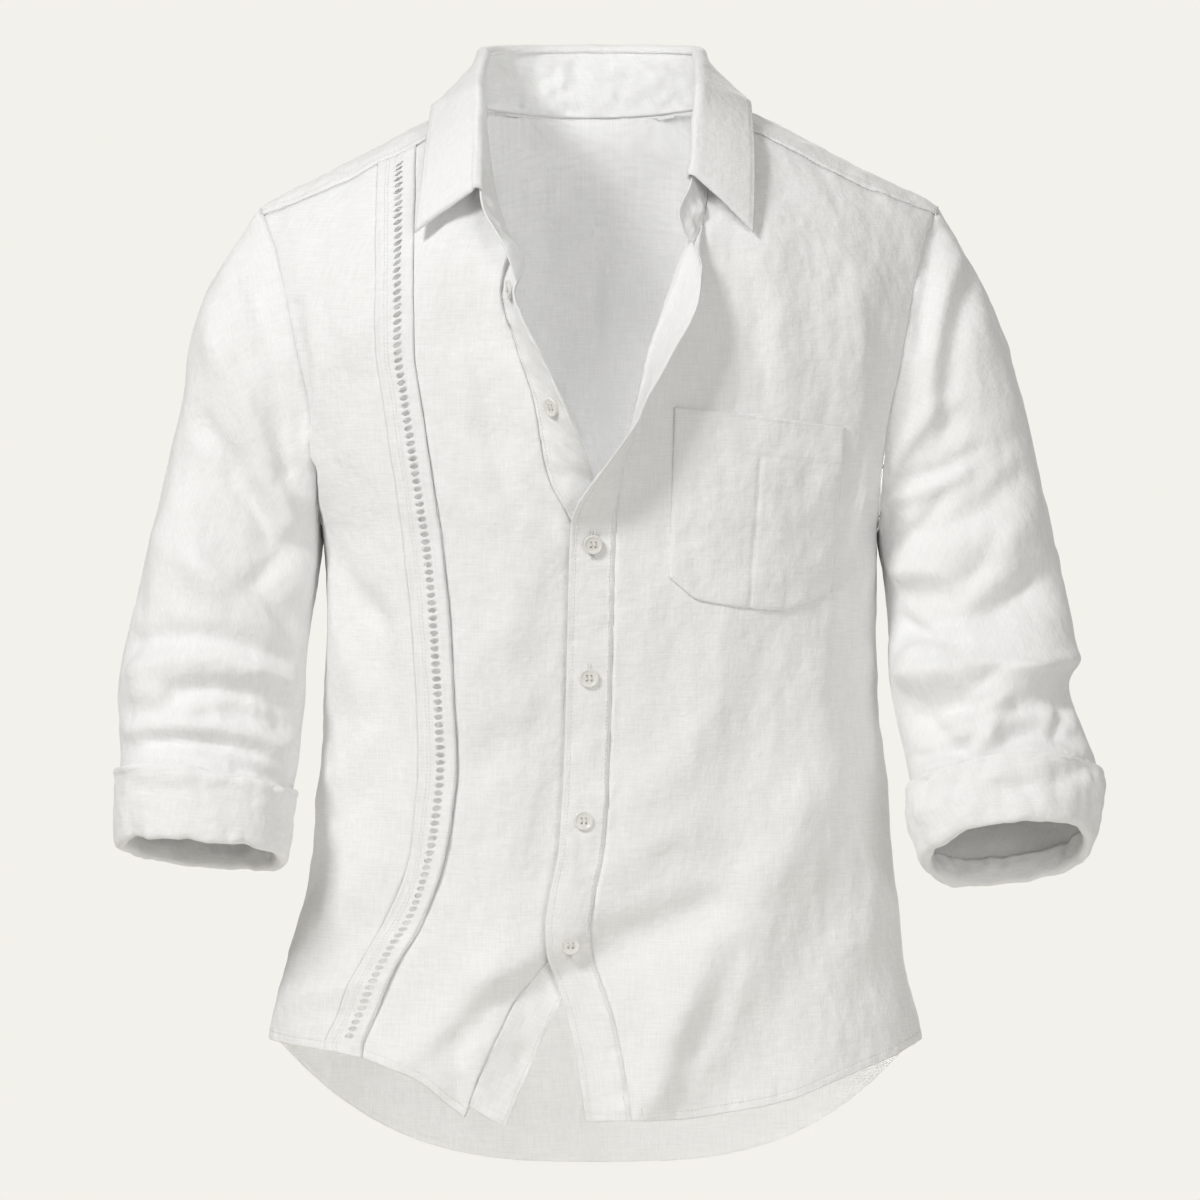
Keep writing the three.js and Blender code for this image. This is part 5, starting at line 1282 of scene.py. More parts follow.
@dataclass
class Drape:
    """Lays folds, creases and crumpling into the panels that share seams."""

    panels: dict[str, Panel]
    calm: float = 9.0  # width beside folded-back seams over which the cloth lies still

    def quiet(self, points: Array, still: Array) -> Array:
        """Returns 0 on the still points, rising to 1 at the calm width from them.

        Args:
            points: The points.
            still: The points that lie still.

        Returns:
            A share for each point.
        """
        if not len(still):
            return np.ones(points.shape[:-1])
        nearest = np.full(points.shape[:-1], np.inf)
        for p in still[:: max(1, len(still) // 160)]:
            nearest = np.minimum(nearest, np.linalg.norm(points - p, axis=-1))
        return smooth((nearest - 1.5) / self.calm)

    def lay(self, relief: dict[str, Array]) -> Seams:
        """Moves the panels' points, and returns their seams.

        Args:
            relief: For each panel that has one, how far its own bands and grooves
                stand out at each point.

        Returns:
            The seams, with the panels' final normals shared over them.
        """
        panels = list(self.panels.values())
        for panel in panels:
            panel.normals = panel.grid_normals()
        seams = Seams.find(panels)
        seams.share_normals()
        still = seams.folded_back()
        moves = {}
        for panel in panels:
            depth = fold_depth(FOLDS, panel.rows, panel.normals)
            depth += fold_depth(CREASES, panel.rows, panel.normals)
            depth += crumple(panel.rows)
            moves[panel.name] = depth * self.quiet(panel.rows, still)
        for group in seams.groups:
            mean = sum(moves[panel.name][r, c] for panel, r, c in group) / len(group)
            for panel, r, c in group:
                moves[panel.name][r, c] = mean
        for panel in panels:
            panel.rows = panel.rows + panel.normals * moves[panel.name][..., None]
        for panel in panels:
            panel.normals = panel.grid_normals()
        seams.share_normals()
        for panel in panels:
            if panel.name in relief:
                panel.rows = panel.rows + panel.normals * relief[panel.name][..., None]
        return seams


# ---- meshes


@dataclass
class Surface:
    """An open sheet of quads with its points' normals and their places on the cloth."""

    points: Array
    faces: Array
    normals: Array
    places: Array

    @classmethod
    def of(cls, panels: Sequence[Panel]) -> "Surface":
        """Joins the grids of a piece's panels where their borders meet.

        Args:
            panels: The piece's panels.

        Returns:
            The joined sheet.
        """
        points, faces, normals, places = [], [], [], []
        start = 0
        for panel in panels:
            count, width = panel.rows.shape[:2]
            ids = start + np.arange(count * width).reshape(count, width)
            if panel.closed:
                ids = np.concatenate([ids, ids[:, :1]], axis=1)
            a, b, c, d = ids[:-1, :-1], ids[:-1, 1:], ids[1:, 1:], ids[1:, :-1]
            order = (a, d, c, b) if panel.flip else (a, b, c, d)
            faces.append(np.stack(order, axis=-1).reshape(-1, 4))
            points.append(panel.rows.reshape(-1, 3))
            normals.append(panel.normals.reshape(-1, 3))
            flat = panel.places() if panel.flat is None else panel.flat
            places.append(flat.reshape(-1, 2))
            start += count * width
        everything = np.concatenate(points)
        quads = np.concatenate(faces)
        if len(panels) > 1:
            borders = []
            start = 0
            for panel in panels:
                r, c = panel.border()
                borders.append(start + r * panel.rows.shape[1] + c)
                start += panel.rows.shape[0] * panel.rows.shape[1]
            edge = np.concatenate(borders)
            ids = np.arange(len(everything))
            ids[edge] = edge[merge_ids(everything[edge], MERGE_REACH)]
            quads = ids[quads]
        return cls(everything, quads, np.concatenate(normals), np.concatenate(places))

    def shell(self, wall: float) -> tuple[Array, Array, Array]:
        """Gives the sheet a wall towards its inside.

        Args:
            wall: Its thickness in millimetres.

        Returns:
            The closed shell's points, faces and places on the cloth.
        """
        count = len(self.points)
        points = np.concatenate([self.points, self.points - self.normals * wall])
        inner = self.faces[:, ::-1] + count
        starts = self.faces
        ends = np.roll(self.faces, -1, axis=1)
        low, high = np.minimum(starts, ends), np.maximum(starts, ends)
        keys = (low.astype(np.int64) * count + high).reshape(-1)
        _, index, uses = np.unique(keys, return_index=True, return_counts=True)
        open_edges = index[uses == 1]
        a, b = starts.reshape(-1)[open_edges], ends.reshape(-1)[open_edges]
        rims = np.stack([b, a, a + count, b + count], axis=-1)
        places = np.concatenate([self.places, self.places])
        return points, np.concatenate([self.faces, inner, rims]), places


def make_mesh(name: str, points: Array, faces: Array, places: Array | None = None) -> bpy.types.Object:
    """Makes an object of quads with smooth faces.

    Args:
        name: Its name.
        points: Its points, in millimetres.
        faces: Four point numbers for each face.
        places: Each point's place on the cloth, in millimetres, kept as its UV map.

    Returns:
        The object, at the origin.
    """
    used = np.unique(faces)
    renumber = np.zeros(len(points), int)
    renumber[used] = np.arange(len(used))
    mesh = bpy.data.meshes.new(name)
    mesh.vertices.add(len(used))
    mesh.vertices.foreach_set("co", (points[used] * MM).astype(np.float32).ravel())
    loops = renumber[faces].ravel()
    mesh.loops.add(len(loops))
    mesh.loops.foreach_set("vertex_index", loops.astype(np.int32))
    mesh.polygons.add(len(faces))
    mesh.polygons.foreach_set("loop_start", np.arange(0, len(loops), 4, dtype=np.int32))
    if places is not None:
        layer = mesh.uv_layers.new(name="cloth")
        layer.data.foreach_set("uv", (places[faces.ravel()] * MM).astype(np.float32).ravel())
    mesh.update(calc_edges=True)
    mesh.validate()
    mesh.polygons.foreach_set("use_smooth", np.ones(len(mesh.polygons), bool))
    obj = bpy.data.objects.new(name, mesh)
    bpy.context.scene.collection.objects.link(obj)
    return obj


# ---- finishes


def linear(hex_colour: str) -> tuple[float, float, float, float]:
    """Returns an sRGB hex colour as linear red, green, blue and alpha.

    Args:
        hex_colour: The colour, such as #ffffff.

    Returns:
        The four parts.
    """
    parts = [int(hex_colour[i : i + 2], 16) / 255 for i in (1, 3, 5)]
    levels = [c / 12.92 if c <= 0.04045 else ((c + 0.055) / 1.055) ** 2.4 for c in parts]
    return (*levels, 1.0)


def set_up(tree: bpy.types.NodeTree, node: bpy.types.Node, **settings: object) -> None:
    """Sets a shader node's attributes and inputs.

    Args:
        tree: The nodes that it is among.
        node: The node.
        settings: Its attributes, and its inputs by their names with _ for a space.
            A socket as a value is linked.
    """
    for name, value in settings.items():
        if hasattr(node, name):
            setattr(node, name, value)
            continue
        socket = node.inputs[name.replace("_", " ")]
        if isinstance(value, bpy.types.NodeSocket):
            tree.links.new(value, socket)
        else:
            socket.default_value = value


def add_node(tree: bpy.types.NodeTree, kind: str, **settings: object) -> bpy.types.Node:
    """Adds a shader node and sets it up.

    Args:
        tree: The material's nodes.
        kind: The node's type without its "ShaderNode" start.
        settings: Its attributes and inputs, as for set_up.

    Returns:
        The node.
    """
    node = tree.nodes.new(f"ShaderNode{kind}")
    set_up(tree, node, **settings)
    return node


def new_material(name: str) -> tuple[bpy.types.Material, bpy.types.NodeTree, bpy.types.Node]:
    """Makes a material.

    Args:
        name: Its name.

    Returns:
        The material, its nodes and its shader.
    """
    material = bpy.data.materials.new(name)
    material.use_nodes = True
    return material, material.node_tree, material.node_tree.nodes["Principled BSDF"]


@dataclass(frozen=True)
class LinenFinish:
    """Washed white linen: uneven threads both ways, soft crumpling, no gloss."""

    name: str = "washed_white_linen"
    colour: str = "#f6f6f6"
    shade: str = "#ececeb"
    thread: float = 0.001  # real threads are 0.45 mm apart, drawn coarser to be seen
    slub: float = 0.018
    crumple: float = 0.006
    roughness: float = 0.88
    relief: float = 0.55

    def threads(
        self, tree: bpy.types.NodeTree, place: bpy.types.NodeSocket, upright: bool
    ) -> bpy.types.NodeSocket:
        """Adds the noise of the threads that run one way.

        Args:
            tree: The material's nodes.
            place: The place on the cloth.
            upright: Whether the threads run up the cloth.

        Returns:
            The noise.
        """
        along, across = 1 / self.slub, 1 / self.thread
        scale = (across, along, 1) if upright else (along, across, 1)
        spread = add_node(tree, "Mapping", Vector=place, Scale=scale).outputs[0]
        noise = add_node(tree, "TexNoise", Vector=spread, Scale=1.0, Detail=2.0, Roughness=0.6)
        return noise.outputs["Fac"]

    def make(self) -> bpy.types.Material:
        """Makes the material.

        Returns:
            The material.
        """
        material, tree, shader = new_material(self.name)
        cloth = add_node(tree, "UVMap", uv_map="cloth").outputs[0]
        spot = add_node(tree, "TexCoord").outputs["Object"]
        # warp and weft: the eye reads them as a dry, slightly streaky white
        weave = add_node(tree, "Math", operation="ADD")
        tree.links.new(self.threads(tree, cloth, True), weave.inputs[0])
        tree.links.new(self.threads(tree, cloth, False), weave.inputs[1])
        weave = weave.outputs[0]
        tone = add_node(tree, "MapRange", Value=weave, From_Min=0.7, From_Max=1.25).outputs[0]
        shade, colour = linear(self.shade), linear(self.colour)
        white = add_node(tree, "MixRGB", Fac=tone, Color1=shade, Color2=colour).outputs[0]
        # small dents that washing leaves between the laid creases
        dents = add_node(
            tree, "TexNoise", Vector=spot, Scale=1 / self.crumple, Detail=2.0, Roughness=0.5
        ).outputs["Fac"]
        low = add_node(tree, "Bump", Strength=self.relief, Distance=0.0014, Height=dents)
        fine = add_node(
            tree,
            "Bump",
            Strength=self.relief,
            Distance=0.00022,
            Height=weave,
            Normal=low.outputs[0],
        )
        set_up(
            tree,
            shader,
            Roughness=self.roughness,
            Sheen_Weight=0.18,
            Sheen_Roughness=0.6,
            Specular_IOR_Level=0.18,
            Base_Color=white,
            Normal=fine.outputs[0],
        )
        return material


@dataclass(frozen=True)
class ShellFinish:
    """Pale shell of the buttons: cool white with a soft cloudy gloss."""

    name: str = "pale_button_shell"
    colour: str = "#f3f1ec"
    cloud: str = "#dcdcd8"
    roughness: float = 0.24

    def make(self) -> bpy.types.Material:
        """Makes the material.

        Returns:
            The material.
        """
        material, tree, shader = new_material(self.name)
        spot = add_node(tree, "TexCoord").outputs["Object"]
        # cloudy layers, which show as slow changes of white over each button
        layers = add_node(
            tree, "TexNoise", Vector=spot, Scale=240.0, Detail=3.0, Distortion=1.2
        ).outputs["Fac"]
        cloud, colour = linear(self.cloud), linear(self.colour)
        white = add_node(tree, "MixRGB", Fac=layers, Color1=cloud, Color2=colour).outputs[0]
        smooth_most, smooth_least = self.roughness, self.roughness + 0.15
        gloss = add_node(tree, "MapRange", Value=layers, To_Min=smooth_most, To_Max=smooth_least)
        set_up(tree, shader, Coat_Weight=0.3, Base_Color=white, Roughness=gloss.outputs[0])
        return material


@dataclass(frozen=True)
class ThreadFinish:
    """White sewing thread: two plies, a little brighter than the linen."""

    name: str = "white_sewing_thread"
    colour: str = "#fbfbf9"
    shade: str = "#cfcfca"

    def make(self) -> bpy.types.Material:
        """Makes the material.

        Returns:
            The material.
        """
        material, tree, shader = new_material(self.name)
        spot = add_node(tree, "TexCoord").outputs["Object"]
        # the twist of the plies, drawn coarser than the real half millimetre
        twist = add_node(tree, "TexNoise", Vector=spot, Scale=900.0, Detail=1.0).outputs["Fac"]
        shade, colour = linear(self.shade), linear(self.colour)
        white = add_node(tree, "MixRGB", Fac=twist, Color1=shade, Color2=colour).outputs[0]
        ply = add_node(tree, "Bump", Strength=0.4, Distance=0.0002, Height=twist).outputs[0]
        set_up(tree, shader, Roughness=0.6, Sheen_Weight=0.3, Base_Color=white, Normal=ply)
        return material


@dataclass
class Finishes:
    """The finishes of the shirt."""

    linen: bpy.types.Material
    shell: bpy.types.Material
    thread: bpy.types.Material

    @classmethod
    def make(cls) -> "Finishes":
        """Makes each finish once."""
        return cls(LinenFinish().make(), ShellFinish().make(), ThreadFinish().make())


# ---- the cloth pieces


class Edge(Enum):
    """The four edges of a panel's grid."""

    HEM = "first row"
    TOP = "last row"
    FIRST = "first column"
    LAST = "last column"


def away(panel: Panel, edge: Edge) -> Array:
    """Returns each point's distance from one edge of its panel.

    Args:
        panel: The panel.
        edge: The edge.

    Returns:
        The distances.
    """
    u, v = panel.spacing()
    if edge is Edge.HEM:
        return v
    if edge is Edge.TOP:
        return v[-1:] - v
    if edge is Edge.FIRST:
        return u
    return u[:, -1:] - u


@dataclass
class Sewing:
    """The bands and grooves that seams and hems leave in the cloth."""

    panels: dict[str, Panel]
    hem_width: float = 7.0
    fell_width: float = 7.5
    done: dict[str, Array] = field(default_factory=dict)

    def start(self, name: str) -> Array:
        """Returns the relief of a panel, flat at first.

        Args:
            name: The panel.

        Returns:
            The heights of its grid.
        """
        if name not in self.done:
            self.done[name] = np.zeros(self.panels[name].rows.shape[:2])
        return self.done[name]

    def groove(self, name: str, edge: Edge, depth: float = 0.7, width: float = 1.6) -> None:
        """Sinks the cloth into the seam along an edge."""
        relief = self.start(name)
        relief -= depth * np.exp(-((away(self.panels[name], edge) / width) ** 2))

    def band(self, name: str, edge: Edge, width: float, height: float = 0.5) -> None:
        """Raises the folded cloth along an edge, with its stitch line pressed in.

        Args:
            name: The panel.
            edge: Its edge.
            width: The fold's width.
            height: How much it stands out.
        """
        relief = self.start(name)
        off = away(self.panels[name], edge)
        relief += height * smooth((width - off) / 1.2 + 0.5)
        relief -= 0.5 * np.exp(-(((off - width + 1.2) / 0.9) ** 2))

    def pucker(self, name: str, edge: Edge, reach: float, height: float, pitch: float) -> None:
        """Draws the cloth beside a seam into small puckers across it.

        Args:
            name: The panel.
            edge: The edge that is sewn.
            reach: How far the puckers run from it.
            height: Their height.
            pitch: Their spacing along the seam.
        """
        panel = self.panels[name]
        relief = self.start(name)
        off = away(panel, edge)
        u, v = panel.spacing()
        along = v if edge in (Edge.FIRST, Edge.LAST) else u
        grain = np.stack([along, off, np.zeros_like(off)], axis=-1)
        waves = lattice_noise(grain, (pitch, min(reach * 1.6, 24.0), 9.0), len(name))
        fade = smooth(off / 1.2) * (1 - smooth(off / reach))
        relief += height * waves * fade

    def sew(self) -> dict[str, Array]:
        """Returns the relief of every panel that has one.

        Returns:
            The reliefs by the panels' names.
        """
        hems = "front_right_side front_right_centre under_placket front_left button_placket back"
        for name in hems.split():
            self.band(name, Edge.HEM, self.hem_width, 0.45)
            self.pucker(name, Edge.HEM, 11.0, 0.9, 4.5)
        for name in ("front_right_side", "front_left", "back"):
            self.groove(name, Edge.FIRST)
            self.pucker(name, Edge.FIRST, 8.0, 0.7, 7.0)
        self.groove("back", Edge.LAST)
        for name in ("sleeve_right", "sleeve_left"):
            self.groove(name, Edge.HEM, 0.7)
            self.pucker(name, Edge.HEM, 16.0, 1.7, 8.0)
        for name in ("front_right_side", "front_right_centre", "ladder_trim", "front_left"):
            self.groove(name, Edge.TOP, 0.9)
            self.pucker(name, Edge.TOP, 13.0, 1.5, 6.5)
        for edge in (Edge.FIRST, Edge.LAST):
            self.groove("shoulders", edge, 0.9, 1.2)
            self.band("shoulders", edge, self.fell_width, 0.6)
            self.pucker("shoulders", edge, 7.5, 0.7, 5.0)
        self.groove("front_right_side", Edge.LAST, 0.5)
        self.groove("front_right_centre", Edge.FIRST, 0.5)
        self.groove("button_placket", Edge.FIRST, 1.3, 1.3)
        self.groove("roll", Edge.LAST, 1.3, 1.3)
        flat = self.start("button_placket")
        flat += 1.0 * smooth(away(self.panels["button_placket"], Edge.FIRST) / 2.0)
        self.pucker("button_placket", Edge.FIRST, 27.0, 1.7, 7.5)
        self.band("button_placket", Edge.LAST, 5.0, 0.3)
        self.pucker("button_placket", Edge.LAST, 14.0, 0.8, 7.0)
        self.groove("under_placket", Edge.FIRST, 0.7)
        self.pucker("under_placket", Edge.LAST, 26.0, 2.6, 11.0)
        self.pucker("under_placket", Edge.FIRST, 24.0, 1.6, 7.0)
        self.groove("collar_stand", Edge.HEM, 0.7, 1.2)
        self.band("collar_stand", Edge.HEM, 5.0, 0.4)
        stand = self.panels["collar_stand"]
        band = self.start("collar_stand")
        free = smooth(away(stand, Edge.TOP) / 15) * smooth(away(stand, Edge.HEM) / 5)
        band += 4.0 * lattice_noise(stand.rows, (11, 11, 15), 21) * free
        band += 0.9 * lattice_noise(stand.rows, (5, 5, 9), 22) * free
        self.groove("collar_stand", Edge.TOP, -0.5, 3.0)
        trim = self.panels["ladder_trim"]
        off = away(trim, Edge.FIRST)
        cord = self.start("ladder_trim")
        cord += 1.1 * np.exp(-(((off - 1.4) / 1.1) ** 2))
        cord += 0.5 * np.exp(-(((off - 19.6) / 0.8) ** 2))
        low = mix(0.3, 1, smooth((-trim.rows[..., 2] - 170) / 150))
        cord += 1.5 * smooth((off - 20.2) / 3.0) * low
        inner = self.panels["front_right_centre"]
        low = mix(0.3, 1, smooth((-inner.rows[..., 2] - 170) / 150))
        centre = self.start("front_right_centre")
        centre -= 1.3 * np.exp(-((away(inner, Edge.FIRST) / 5.0) ** 2)) * low
        return self.done


@dataclass(frozen=True)
class FlatCut:
    """The size that a sheet was cut to, in metres, and what it hangs from."""

    width: float
    length: float
    area: float
    rests_on: tuple[str, ...] = ("back",)
    held: str = "hung"


def dress(obj: bpy.types.Object, material: bpy.types.Material) -> bpy.types.Object:
    """Gives a piece its finish, and lets it ride on the shirt.

    Args:
        obj: The piece.
        material: Its finish.

    Returns:
        The piece.
    """
    obj.data.materials.clear()
    obj.data.materials.append(material)
    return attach(obj, "root")


@dataclass
class Shirt:
    """The shirt's cloth as fine sheets on the form of its solids."""

    finishes: Finishes
    single: float = 0.7
    folded: float = 1.2
    panels: dict[str, Panel] = field(default_factory=dict)
    objects: dict[str, bpy.types.Object] = field(default_factory=dict)

    def lay_out(self) -> None:
        """Makes all panels, with their folds, creases and sewing."""
        self.panels = Cut(Body()).make()
        for panel in self.panels.values():
            panel.normals = panel.grid_normals()
            panel.flat = panel.places()
        relief = Sewing(self.panels).sew()
        Drape(self.panels).lay(relief)

    def keep(self, name: str, surface: Surface, wall: float) -> None:
        """Makes a piece from its sheet, in the place of the solid of that name.

        Args:
            name: The solid.
            surface: The sheet.
            wall: Its thickness.
        """
        points, faces, places = surface.shell(wall)
        obj = make_mesh(f"{name}_cloth", points, faces, places)
        dress(obj, self.finishes.linen)
        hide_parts(name)
        self.objects[name] = obj
        LOG.info("cloth piece %s", name)

    def sew_body(self) -> None:
        """Makes the pieces that are sewn together edge to edge."""
        pieces: dict[str, list[Panel]] = {}
        for panel in self.panels.values():
            pieces.setdefault(panel.piece, []).append(panel)
        for name, parts in pieces.items():
            if name == "ladder_trim":
                continue
            doubled = name in ("button_placket", "under_placket", "collar_stand")
            wall = self.folded if doubled else self.single
            self.keep(name, Surface.of(parts), wall)

    def ladder(self) -> None:
        """Makes the ladder strip, with a real opening between its threads."""
        strip = LadderStrip(self.panels["ladder_trim"])
        self.keep("ladder_trim", strip.surface(), self.folded)

    def collar(self) -> None:
        """Makes the collar's leaf, from the fold at the stand's top to its edge."""
        leaf = CollarLeaf(self.panels["collar_stand"])
        self.keep("collar_leaf", Surface.of([leaf.panel()]), self.folded)

    def cuffs(self) -> None:
        """Makes the turned-back cuffs round the sleeves' ends."""
        for side, name in ((Side.RIGHT, "right"), (Side.LEFT, "left")):
            cuff = TurnedCuff(self.panels[f"sleeve_{name}"], side)
            self.keep(f"cuff_{name}", Surface.of([cuff.panel()]), self.folded)

    def pocket(self) -> None:
        """Makes the chest pocket on the left front."""
        pocket = ChestPocket(self.objects["front_left"])
        self.keep("pocket", Surface.of([pocket.panel()]), self.folded)


@dataclass
class LadderStrip:
    """The openwork strip: bars of thread between two woven bands."""

    trim: Panel
    pitch: float = 5.2
    hole_at: float = 15.0
    hole_wide: float = 6.0
    hole_high: float = 4.1
    slant: float = 0.45
    steps: int = 6
    outer: tuple[float, ...] = (0, 0.7, 1.4, 2.2, 3.2, 5, 8, 11.3)
    inner: tuple[float, ...] = (18.7, 19.6, 20.6, 22, 24, 26)

    def surface(self) -> Surface:
        """Returns the strip's sheet without the openings.

        Returns:
            The sheet.
        """
        middle = self.trim.rows[:, self.trim.rows.shape[1] // 2]
        lengths = np.concatenate([[0], np.cumsum(np.linalg.norm(np.diff(middle, axis=0), axis=1))])
        cells = int(lengths[-1] // self.pitch)
        count = cells * self.steps + 1
        at = np.interp(np.linspace(0, lengths[-1], count), lengths, np.arange(len(middle)))
        across = np.concatenate(
            [self.outer, self.hole_at + np.linspace(-0.5, 0.5, 7) * self.hole_wide, self.inner]
        )
        first = len(self.outer)
        hole = np.arange(first, first + 7)
        rows_at = np.repeat(at[:, None], len(across), axis=1)
        wide = np.repeat(across[None] / across[-1] * (self.trim.rows.shape[1] - 1), count, axis=0)
        height = (len(middle) - 1) / (count - 1)
        for k in range(self.steps):
            phase = (k - self.steps / 2) / (self.steps / 2)
            inside = abs(phase) < 0.99
            for j, column in enumerate(hole):
                reach = (j - 3) / 3
                lift = math.sqrt(max(0.0, 1 - reach * reach)) * self.hole_high / self.pitch
                target = phase * lift / 0.75 if inside else phase
                shift = (target - phase) * self.steps / 2 + self.slant * reach
                rows_at[k :: self.steps, column] += shift * height
        rows_at = np.clip(rows_at, 0, len(middle) - 1)
        rows_at[0], rows_at[-1] = 0, len(middle) - 1
        i, j = np.floor(rows_at).astype(int), np.floor(wide).astype(int)
        i = np.minimum(i, self.trim.rows.shape[0] - 2)
        j = np.minimum(j, self.trim.rows.shape[1] - 2)
        s, t = (rows_at - i)[..., None], (wide - j)[..., None]
        grids = []
        for grid in (self.trim.rows, self.trim.normals):
            low = grid[i, j] * (1 - t) + grid[i, j + 1] * t
            high = grid[i + 1, j] * (1 - t) + grid[i + 1, j + 1] * t
            grids.append(low * (1 - s) + high * s)
        panel = Panel("ladder_trim", "ladder_trim", grids[0], normals=unit(grids[1]))
        sheet = Surface.of([panel])
        row = np.arange(count - 1)[:, None]
        column = np.arange(len(across) - 1)[None]
        step = row % self.steps
        bar = (step < 1) | (step >= self.steps - 1)
        gone = (column >= first) & (column < first + 6) & ~bar & (row > 12) & (row < count - 14)
        sheet.faces = sheet.faces[~gone.reshape(-1)]
        return sheet


@dataclass
class CollarLeaf:
    """The collar's outer leaf, folded over from the stand."""

    stand: Panel
    first: int = 39
    fall_rows: int = 34
    roll: tuple[tuple[float, float], ...] = ((-2.2, 0.5), (-2.2, 2.4), (0.3, 4.6), (3.2, 2.8))

    def panel(self) -> Panel:
        """Returns the leaf's grid, from its edge up to the stand.

        Returns:
            The grid with its relief.
        """
        right = STRIP_STEPS + NECK_STEPS - self.first
        back = Cut.shoulder_rows * 2 + Cut.back_columns
        last = self.first + right + back + NECK_STEPS
        top = self.stand.rows[-1, self.first : last + 1]
        below = self.stand.rows[-3, self.first : last + 1]
        normal = self.stand.normals[-2, self.first : last + 1]
        rise = unit(top - below)
        rows = [top]
        for out, up in self.roll:
            rows.append(top + normal * out + rise * up)
        edge = np.concatenate(
            [
                Curve.through(LEAF_RIGHT).at(np.linspace(0, 1, right + 1)),
                Curve.through(LEAF_BACK).at(np.linspace(0, 1, back + 1))[1:],
                Curve.through(LEAF_LEFT).at(np.linspace(0, 1, NECK_STEPS + 1))[1:],
            ]
        )
        turn = rows[-1]
        falls = []
        for t in np.linspace(0, 1, 7)[1:]:
            bulge = normal * (LEAF_BULGE * math.sin(math.pi * t))
            falls.append(mix(turn, edge, t) + bulge)
        knots = np.stack(rows + falls)
        places = np.concatenate([np.linspace(0, 4, 17), np.linspace(4, 10, self.fall_rows)[1:]])
        grid = loft(knots, places)[::-1]
        panel = Panel("collar_leaf", "collar_leaf", grid)
        panel.flat = panel.places()
        panel.normals = panel.grid_normals()
        ends = np.minimum(away(panel, Edge.FIRST), away(panel, Edge.LAST))
        hem = away(panel, Edge.HEM)
        rim = np.minimum(ends, hem)
        relief = 0.35 * smooth((5.0 - rim) / 1.4 + 0.5)
        relief -= 0.45 * np.exp(-(((rim - 4.6) / 1.0) ** 2))
        wave = crumple(grid) * 0.34 * smooth(away(panel, Edge.TOP) / 30)
        panel.rows = grid + panel.normals * (relief + wave)[..., None]
        panel.normals = panel.grid_normals()
        return panel


@dataclass
class TurnedCuff:
    """A cuff turned back up over the end of its sleeve."""

    sleeve: Panel
    side: Side
    hook: tuple[tuple[float, float], ...] = (
        (16, -4.0),
        (5, -4.4),
        (-3.0, -3.0),
        (-4.8, 0.4),
        (-2.0, 3.8),
        (8, 5.2),
        (20, 5.4),
        (30, 5.2),
        (40, 4.8),
        (46, 4.2),
        (46.2, 2.9),
        (42, 2.4),
    )

    def walk(self, up: float) -> Array:
        """Returns the loop a distance up from the sleeve's end, or past it.

        Args:
            up: The distance, below 0 past the end.

        Returns:
            The points of the loop.
        """
        ends = self.sleeve.rows[::-1]
        if up <= 0:
            return ends[0] + unit(ends[0] - ends[4]) * -up
        steps = np.linalg.norm(np.diff(ends, axis=0), axis=-1)
        reached = np.cumsum(steps, axis=0)
        i = np.argmax(reached >= up, axis=0)
        columns = np.arange(ends.shape[1])
        before = np.where(i > 0, reached[i - 1, columns], 0)
        share = (up - before) / steps[i, columns]
        return mix(ends[i, columns], ends[i + 1, columns], share[:, None])

    def panel(self) -> Panel:
        """Returns the cuff's grid, from inside the sleeve out and up.

        Returns:
            The grid with its relief.
        """
        normal = unit(self.sleeve.normals[-1] + self.sleeve.normals[-3])
        knots = np.stack([self.walk(up) + normal * out for up, out in self.hook])
        grid = loft(knots, np.linspace(0, len(self.hook) - 1, 52))
        flip = self.side is Side.LEFT
        panel = Panel(f"cuff_{self.side.name}", "cuff", grid, flip=not flip, closed=True)
        panel.flat = panel.places()
        panel.normals = panel.grid_normals()
        down, up = away(panel, Edge.TOP), away(panel, Edge.HEM)
        wave = crumple(grid) * 0.9 * smooth(down / 8)
        wave += 0.9 * lattice_noise(grid, (13, 14, 9), 11) * smooth(down / 12)
        wave += 0.6 * lattice_noise(grid, (6, 7, 22), 12) * smooth(down / 10)
        wave -= 0.5 * np.exp(-(((down - 10) / 1.2) ** 2))
        wave += 3.4 * lattice_noise(grid, (10, 11, 70), 13) * (1 - smooth(up / 16))
        rim = np.exp(-(((up - 26) / 9) ** 2))
        wave += 1.6 * lattice_noise(grid, (15, 15, 40), 14) * rim
        panel.rows = grid + panel.normals * wave[..., None]
        panel.rows[..., 2] += 2.0 * lattice_noise(grid, (24, 22, 60), 15) * smooth(up / 10)
        panel.normals = panel.grid_normals()
        return panel


